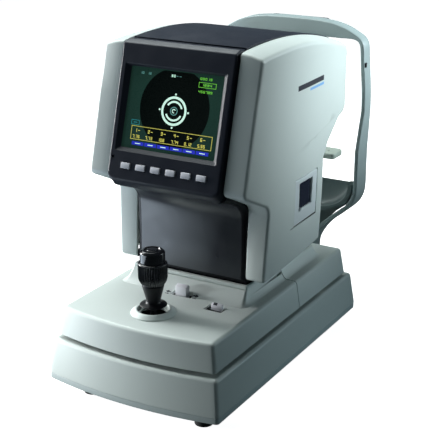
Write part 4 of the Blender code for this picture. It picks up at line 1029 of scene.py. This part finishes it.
def build_face_frame():
    path = frame_path()
    rings = []
    for i, (x, z, thick) in enumerate(path):
        before = Vector(path[max(i - 1, 0)][:2])
        after = Vector(path[min(i + 1, len(path) - 1)][:2])
        way = (after - before).normalized()
        inward = Vector((way.y, -way.x))
        front, rear = frame_depth(z)
        section = fillet([(0.0, front, 0.002), (thick, front, 0.0016), (thick, rear, 0.0016),
                          (0.0, rear, 0.002)], 4)
        rings.append([(x + inward.x * t, y, z + inward.y * t) for t, y in section])
    piece(("face_band", loft(rings)), "frame", "base", "face_frame", angle=40)

    outline = eased([(0.0418, 0.1878), (0.0418, 0.228), (-0.0418, 0.228), (-0.0418, 0.1878)], 0.004, 8)
    bracket = as_object("leg_bracket", pillow(outline, "Z", PLATE_LOW, 0.118, 0.001))
    cut_box(bracket, (-0.038, 0.193, 0.031), (0.038, 0.235, 0.1145), 0.001)
    carve(bracket, rod(0.0052, 0.11, 0.125, (0.0, CHIN_Y, 0.0)))
    piece(bracket, "frame", "base", "frame_bracket")

    for side, sign in SIDES:
        x, tip = sign * (MARK_X + GAP), sign * (MARK_X + GAP + 0.0015)
        mark = pillow([(x, 0.2122), (tip, 0.2132), (tip, 0.2162), (x, 0.2172)][::sign], "Z", 0.3945, 0.4015,
                      0.0004, 2)
        piece((f"eye_wedge_{side}", mark), "black", "base", f"eye_mark_{side}")

    build_bowl()
    build_cup()
    housing = as_object("chin_tower", block((-0.0235, 0.2035, 0.1183), (0.0235, 0.235, 0.21), 0.004, 0.002,
                                            steps=5))
    cut_box(housing, (-0.0165, CHIN_Y - 0.0105, 0.122), (0.0165, CHIN_Y + 0.0105, 0.22), 0.0008)
    carve(housing, rod(0.005, 0.11, 0.13, (0.0, CHIN_Y, 0.0)))
    piece(housing, "cover", "base", "chinrest_housing")
    build_pad()


def build_bowl():
    """Curved dish between the uprights, with a rounded lip and a back wall just inside the band."""
    steps, rows = 36, 10
    walls = ((1.0, 0.0006, 0.0), (1.0, 0.0, 0.0006), (0.992, 0.0, 0.0018), (0.955, 0.0, BOWL_WALL - 0.0012),
             (0.952, 0.0006, BOWL_WALL))
    bm = bmesh.new()
    section = []
    for i in range(steps + 1):
        turn = pi * i / steps
        across = copysign(abs(cos(turn)) ** (2 / 3), cos(turn))
        drop = sin(turn) ** (2 / 3)
        loop = []
        for scale, back_set, rise in walls:
            loop.append((BOWL_HALF * across * scale, 0.195 + back_set, 0.217 - 0.049 * drop + rise))
        for scale, rise in ((0.952, BOWL_WALL), (1.0, 0.0)):
            z0 = 0.217 - 0.049 * drop
            depth = 0.03 if rise else 0.0325
            rise_steps = range(1, rows + 1) if rise else range(rows, 0, -1)
            for k in rise_steps:
                t = k / rows
                loop.append((BOWL_HALF * across * scale, 0.195 + depth * t, z0 + (0.2085 - z0) * t * t + rise))
        section.append([bm.verts.new(point) for point in loop])
    for near, far in zip(section, section[1:]):
        for k in range(len(near)):
            bm.faces.new((near[k - 1], near[k], far[k], far[k - 1]))
    bm.faces.new(section[0])
    bm.faces.new(section[-1])
    bowl = as_object("bowl_shell", bm)
    wall = [(x, z, 0.0) for x, z in BOWL_BACK] + [(-x, z, 0.0) for x, z in reversed(BOWL_BACK)]
    carve(bowl, pillow(fillet(wall), "Y", 0.2246, 0.2271), "UNION")
    cut_box(bowl, (-0.024, 0.203, 0.12), (0.024, 0.24, 0.24), 0.003)
    piece(bowl, "bowl", "base", "chin_bowl", angle=40)


def build_cup():
    outline = fillet([(CUP_HALF, 0.214, 0.0055), (CUP_HALF, 0.25, 0.008), (-CUP_HALF, 0.25, 0.008),
                      (-CUP_HALF, 0.214, 0.0055)])
    cup = as_object("chin_plate", pillow(outline, "Z", 0.247, CUP_TOP, 0.002))
    carve(cup, block((-0.016, CHIN_Y - 0.01, 0.148), (0.016, CHIN_Y + 0.01, 0.25), 0.001, 0.0), "UNION")
    carve(cup, rod(0.0042, 0.14, 0.235, (0.0, CHIN_Y, 0.0), steps=24))
    for x in (-0.058, 0.058):
        carve(cup, turned([(0.0, 0.24), (0.0018, 0.24), (0.0018, CUP_TOP - 0.0006), (0.0026, CUP_TOP + 0.0004),
                           (0.0026, 0.27), (0.0, 0.27)], (x, 0.232, 0.0), steps=24))
    carve(cup, turned([(0.0, 0.0), (0.027, 0.0002), (0.031, 0.002), (0.034, 0.0046), (0.0356, 0.0056),
                       (0.0356, 0.012), (0.0, 0.012)], (0.0, 0.243, 0.2508), steps=72))
    piece(cup, "chin", "chinrest", "chin_cup")


def build_pad():
    """Crowned pad, pulled in towards its rim, with a sewn groove round it."""
    low, high = Vector((-0.05, 0.2343, 0.435)), Vector((0.05, 0.25, 0.457))
    rings = []
    for shrink, depth in ((0.0016, 0.0), (0.0004, 0.0008), (0.0, 0.0022), (0.0, 0.005), (0.0005, 0.01),
                          (0.0016, 0.0112), (0.0022, 0.0109), (0.003, 0.0116), (0.005, 0.0134),
                          (0.0072, 0.0146), (0.0094, 0.0155)):
        outline = rectangle(low.x + shrink, low.z + shrink, high.x - shrink, high.z - shrink, 0.0075 - shrink * 0.6)
        rings.append(lift(outline, "Y", low.y + depth))
    pad = as_object("brow_pad", loft(rings))
    piece(pad, "pad", "base", "forehead_pad", angle=60)


build_face_frame()


# ---------------------------------------------------------------- nose and inner parts
def build_nose():
    nose = fillet([(0.018, 0.166), (0.0218, 0.166), (0.0218, HEAD_REAR_Y + GAP),
                   (0.025, HEAD_REAR_Y + GAP), (0.0244, 0.199, 0.0012), (0.0215, 0.203, 0.001),
                   (0.0196, 0.201, 0.0006), (0.018, 0.19, 0.0006)], 4)
    piece(("nose_cone", turned(nose, (0.0, 0.0, OPTIC_Z), "Y", 96)), "dark", "head", "nose_ring")
    lens = [(0.0, 0.172)] + [(0.0174 * sin(t), 0.1762 - 0.0042 * cos(t)) for t in (0.3, 0.6, 0.9, 1.2, 1.45)]
    lens += [(0.0174, 0.1768)] + [(0.0174 * sin(t), 0.1768 + 0.0027 * cos(t)) for t in (1.2, 0.9, 0.6, 0.3)]
    piece(("front_lens", turned(lens + [(0.0, 0.1795)], (0.0, 0.0, OPTIC_Z), "Y", 96)), "lens", "head",
          "objective_lens")


build_nose()
piece(("lever_marks", merge(*STAGE_MARKS)), "ink", "stage")

CARRIED = {
    "steel": ("track_left", "track_right", "power_supply", "chinrest_motor", "chinrest_screw", "cross_axle",
              "guide_column", "lift_motor", "lift_screw"),
    "alloy": ("carriage_frame", "head_chassis", "optics_tube"),
    # The stage plate is black as the real slide plate, and its black also paints the shade in the gap between the
    # tiers.
    "black": ("stage_plate", "head_skirt", "printer_bay"),
    "rubber": ("platen_roller",),
    "board": ("main_board",),
    "paper": ("paper_roll",),
}
for material, names in CARRIED.items():
    for name in names:
        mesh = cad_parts[name].data
        mesh.materials.clear()
        mesh.materials.append(MATS[material])


# ---------------------------------------------------------------- floor, light and camera
def build_stage_set():
    mat, nodes, links, shader = tree("pale_floor")
    tone = remap(nodes, links, noise(nodes, links, 2.0), 0.0, 1.0)
    links.new(blend_colour(nodes, links, tone, (0.86, 0.86, 0.86), (0.88, 0.88, 0.88)), shader.inputs["Base Color"])
    put(shader, Roughness=0.8, Emission_Color=(1.0, 1.0, 1.0, 1.0), Emission_Strength=0.95)
    floor = add_sheet("floor", [(-6, -6, 0), (6, -6, 0), (6, 6, 0), (-6, 6, 0)], mat)
    floor.visible_diffuse = False
    floor.visible_glossy = False

    # Dark card, out of the camera's sight, that keeps the left light off the bowl.
    flag = add_sheet("flag", [(-0.35, y, z) for y, z in ((0.04, 0.0), (0.42, 0.0), (0.42, 0.36), (0.04, 0.36))],
                     MATS["rubber"])
    flag.visible_camera = False

    world = bpy.data.worlds.new("studio")
    world.use_nodes = True
    nodes, links = world.node_tree.nodes, world.node_tree.links
    back = nodes["Background"]
    put(back, Color=(0.7, 0.92, 1.0, 1.0), Strength=0.05)
    white = nodes.new("ShaderNodeBackground")
    put(white, Strength=1.0)
    mix = nodes.new("ShaderNodeMixShader")
    links.new(nodes.new("ShaderNodeLightPath").outputs["Is Camera Ray"], mix.inputs[0])
    links.new(back.outputs[0], mix.inputs[1])
    links.new(white.outputs[0], mix.inputs[2])
    links.new(mix.outputs[0], nodes["World Output"].inputs["Surface"])
    bpy.context.scene.world = world

    def aimed(data, place, aim):
        obj = add_object(data.name, data)
        obj.location = place
        obj.rotation_euler = (Vector(aim) - Vector(place)).to_track_quat("-Z", "Y").to_euler()
        return obj

    def lamp(kind, name, power, colour):
        light = bpy.data.lights.new(name, kind)
        light.energy, light.color = power, colour
        return light

    for name, place, aim, size, power, colour in (
            ("upper_left_box", (-1.3, 0.1, 1.5), (0.0, 0.0, 0.2), (1.2, 1.2), 20.0, (0.94, 1.0, 0.99)),
            ("top_box", (-0.55, 0.3, 1.8), (0.0, 0.0, 0.0), (1.0, 1.4), 25.0, (0.92, 1.0, 0.99)),
            ("left_box", (-2.0, -0.22, 0.5), (0.0, 0.0, 0.2), (0.4, 1.0), 58.0, (1.0, 1.0, 1.0)),
            ("left_card", (-0.7, -0.6, 0.012), (-0.7, -0.6, 1.0), (0.7, 1.0), 8.0, (0.74, 0.87, 1.0))):
        light = lamp("AREA", name, power, colour)
        light.shape = "RECTANGLE"
        light.size, light.size_y = size
        aimed(light, place, aim).visible_camera = False
    for name, place, aim, cone, power, colour in (
            ("head_spot", (1.25, 0.95, 0.85), (0.11, 0.19, 0.46), 22.0, 178.0, (0.86, 0.97, 1.0)),
            ("base_spot", (1.2, 0.9, 0.25), (0.12, 0.0, 0.0), 26.0, 15.0, (0.68, 0.91, 1.0)),
            ("front_spot", (-1.3, -0.75, 0.12), (-0.03, -0.24, 0.03), 18.5, 100.0, (0.93, 0.99, 1.0))):
        light = lamp("SPOT", name, power, colour)
        light.spot_size = radians(cone)
        light.spot_blend = 1.0
        light.shadow_soft_size = 0.12
        aimed(light, place, aim)

    data = bpy.data.cameras.new("camera")
    data.lens = 91.0
    data.sensor_width = 36.0
    bpy.context.scene.camera = aimed(data, (0.7508, -1.3084, 0.7349), (0.0, -0.0031, 0.1976))
    bpy.context.scene.view_settings.view_transform = "Standard"


build_stage_set()
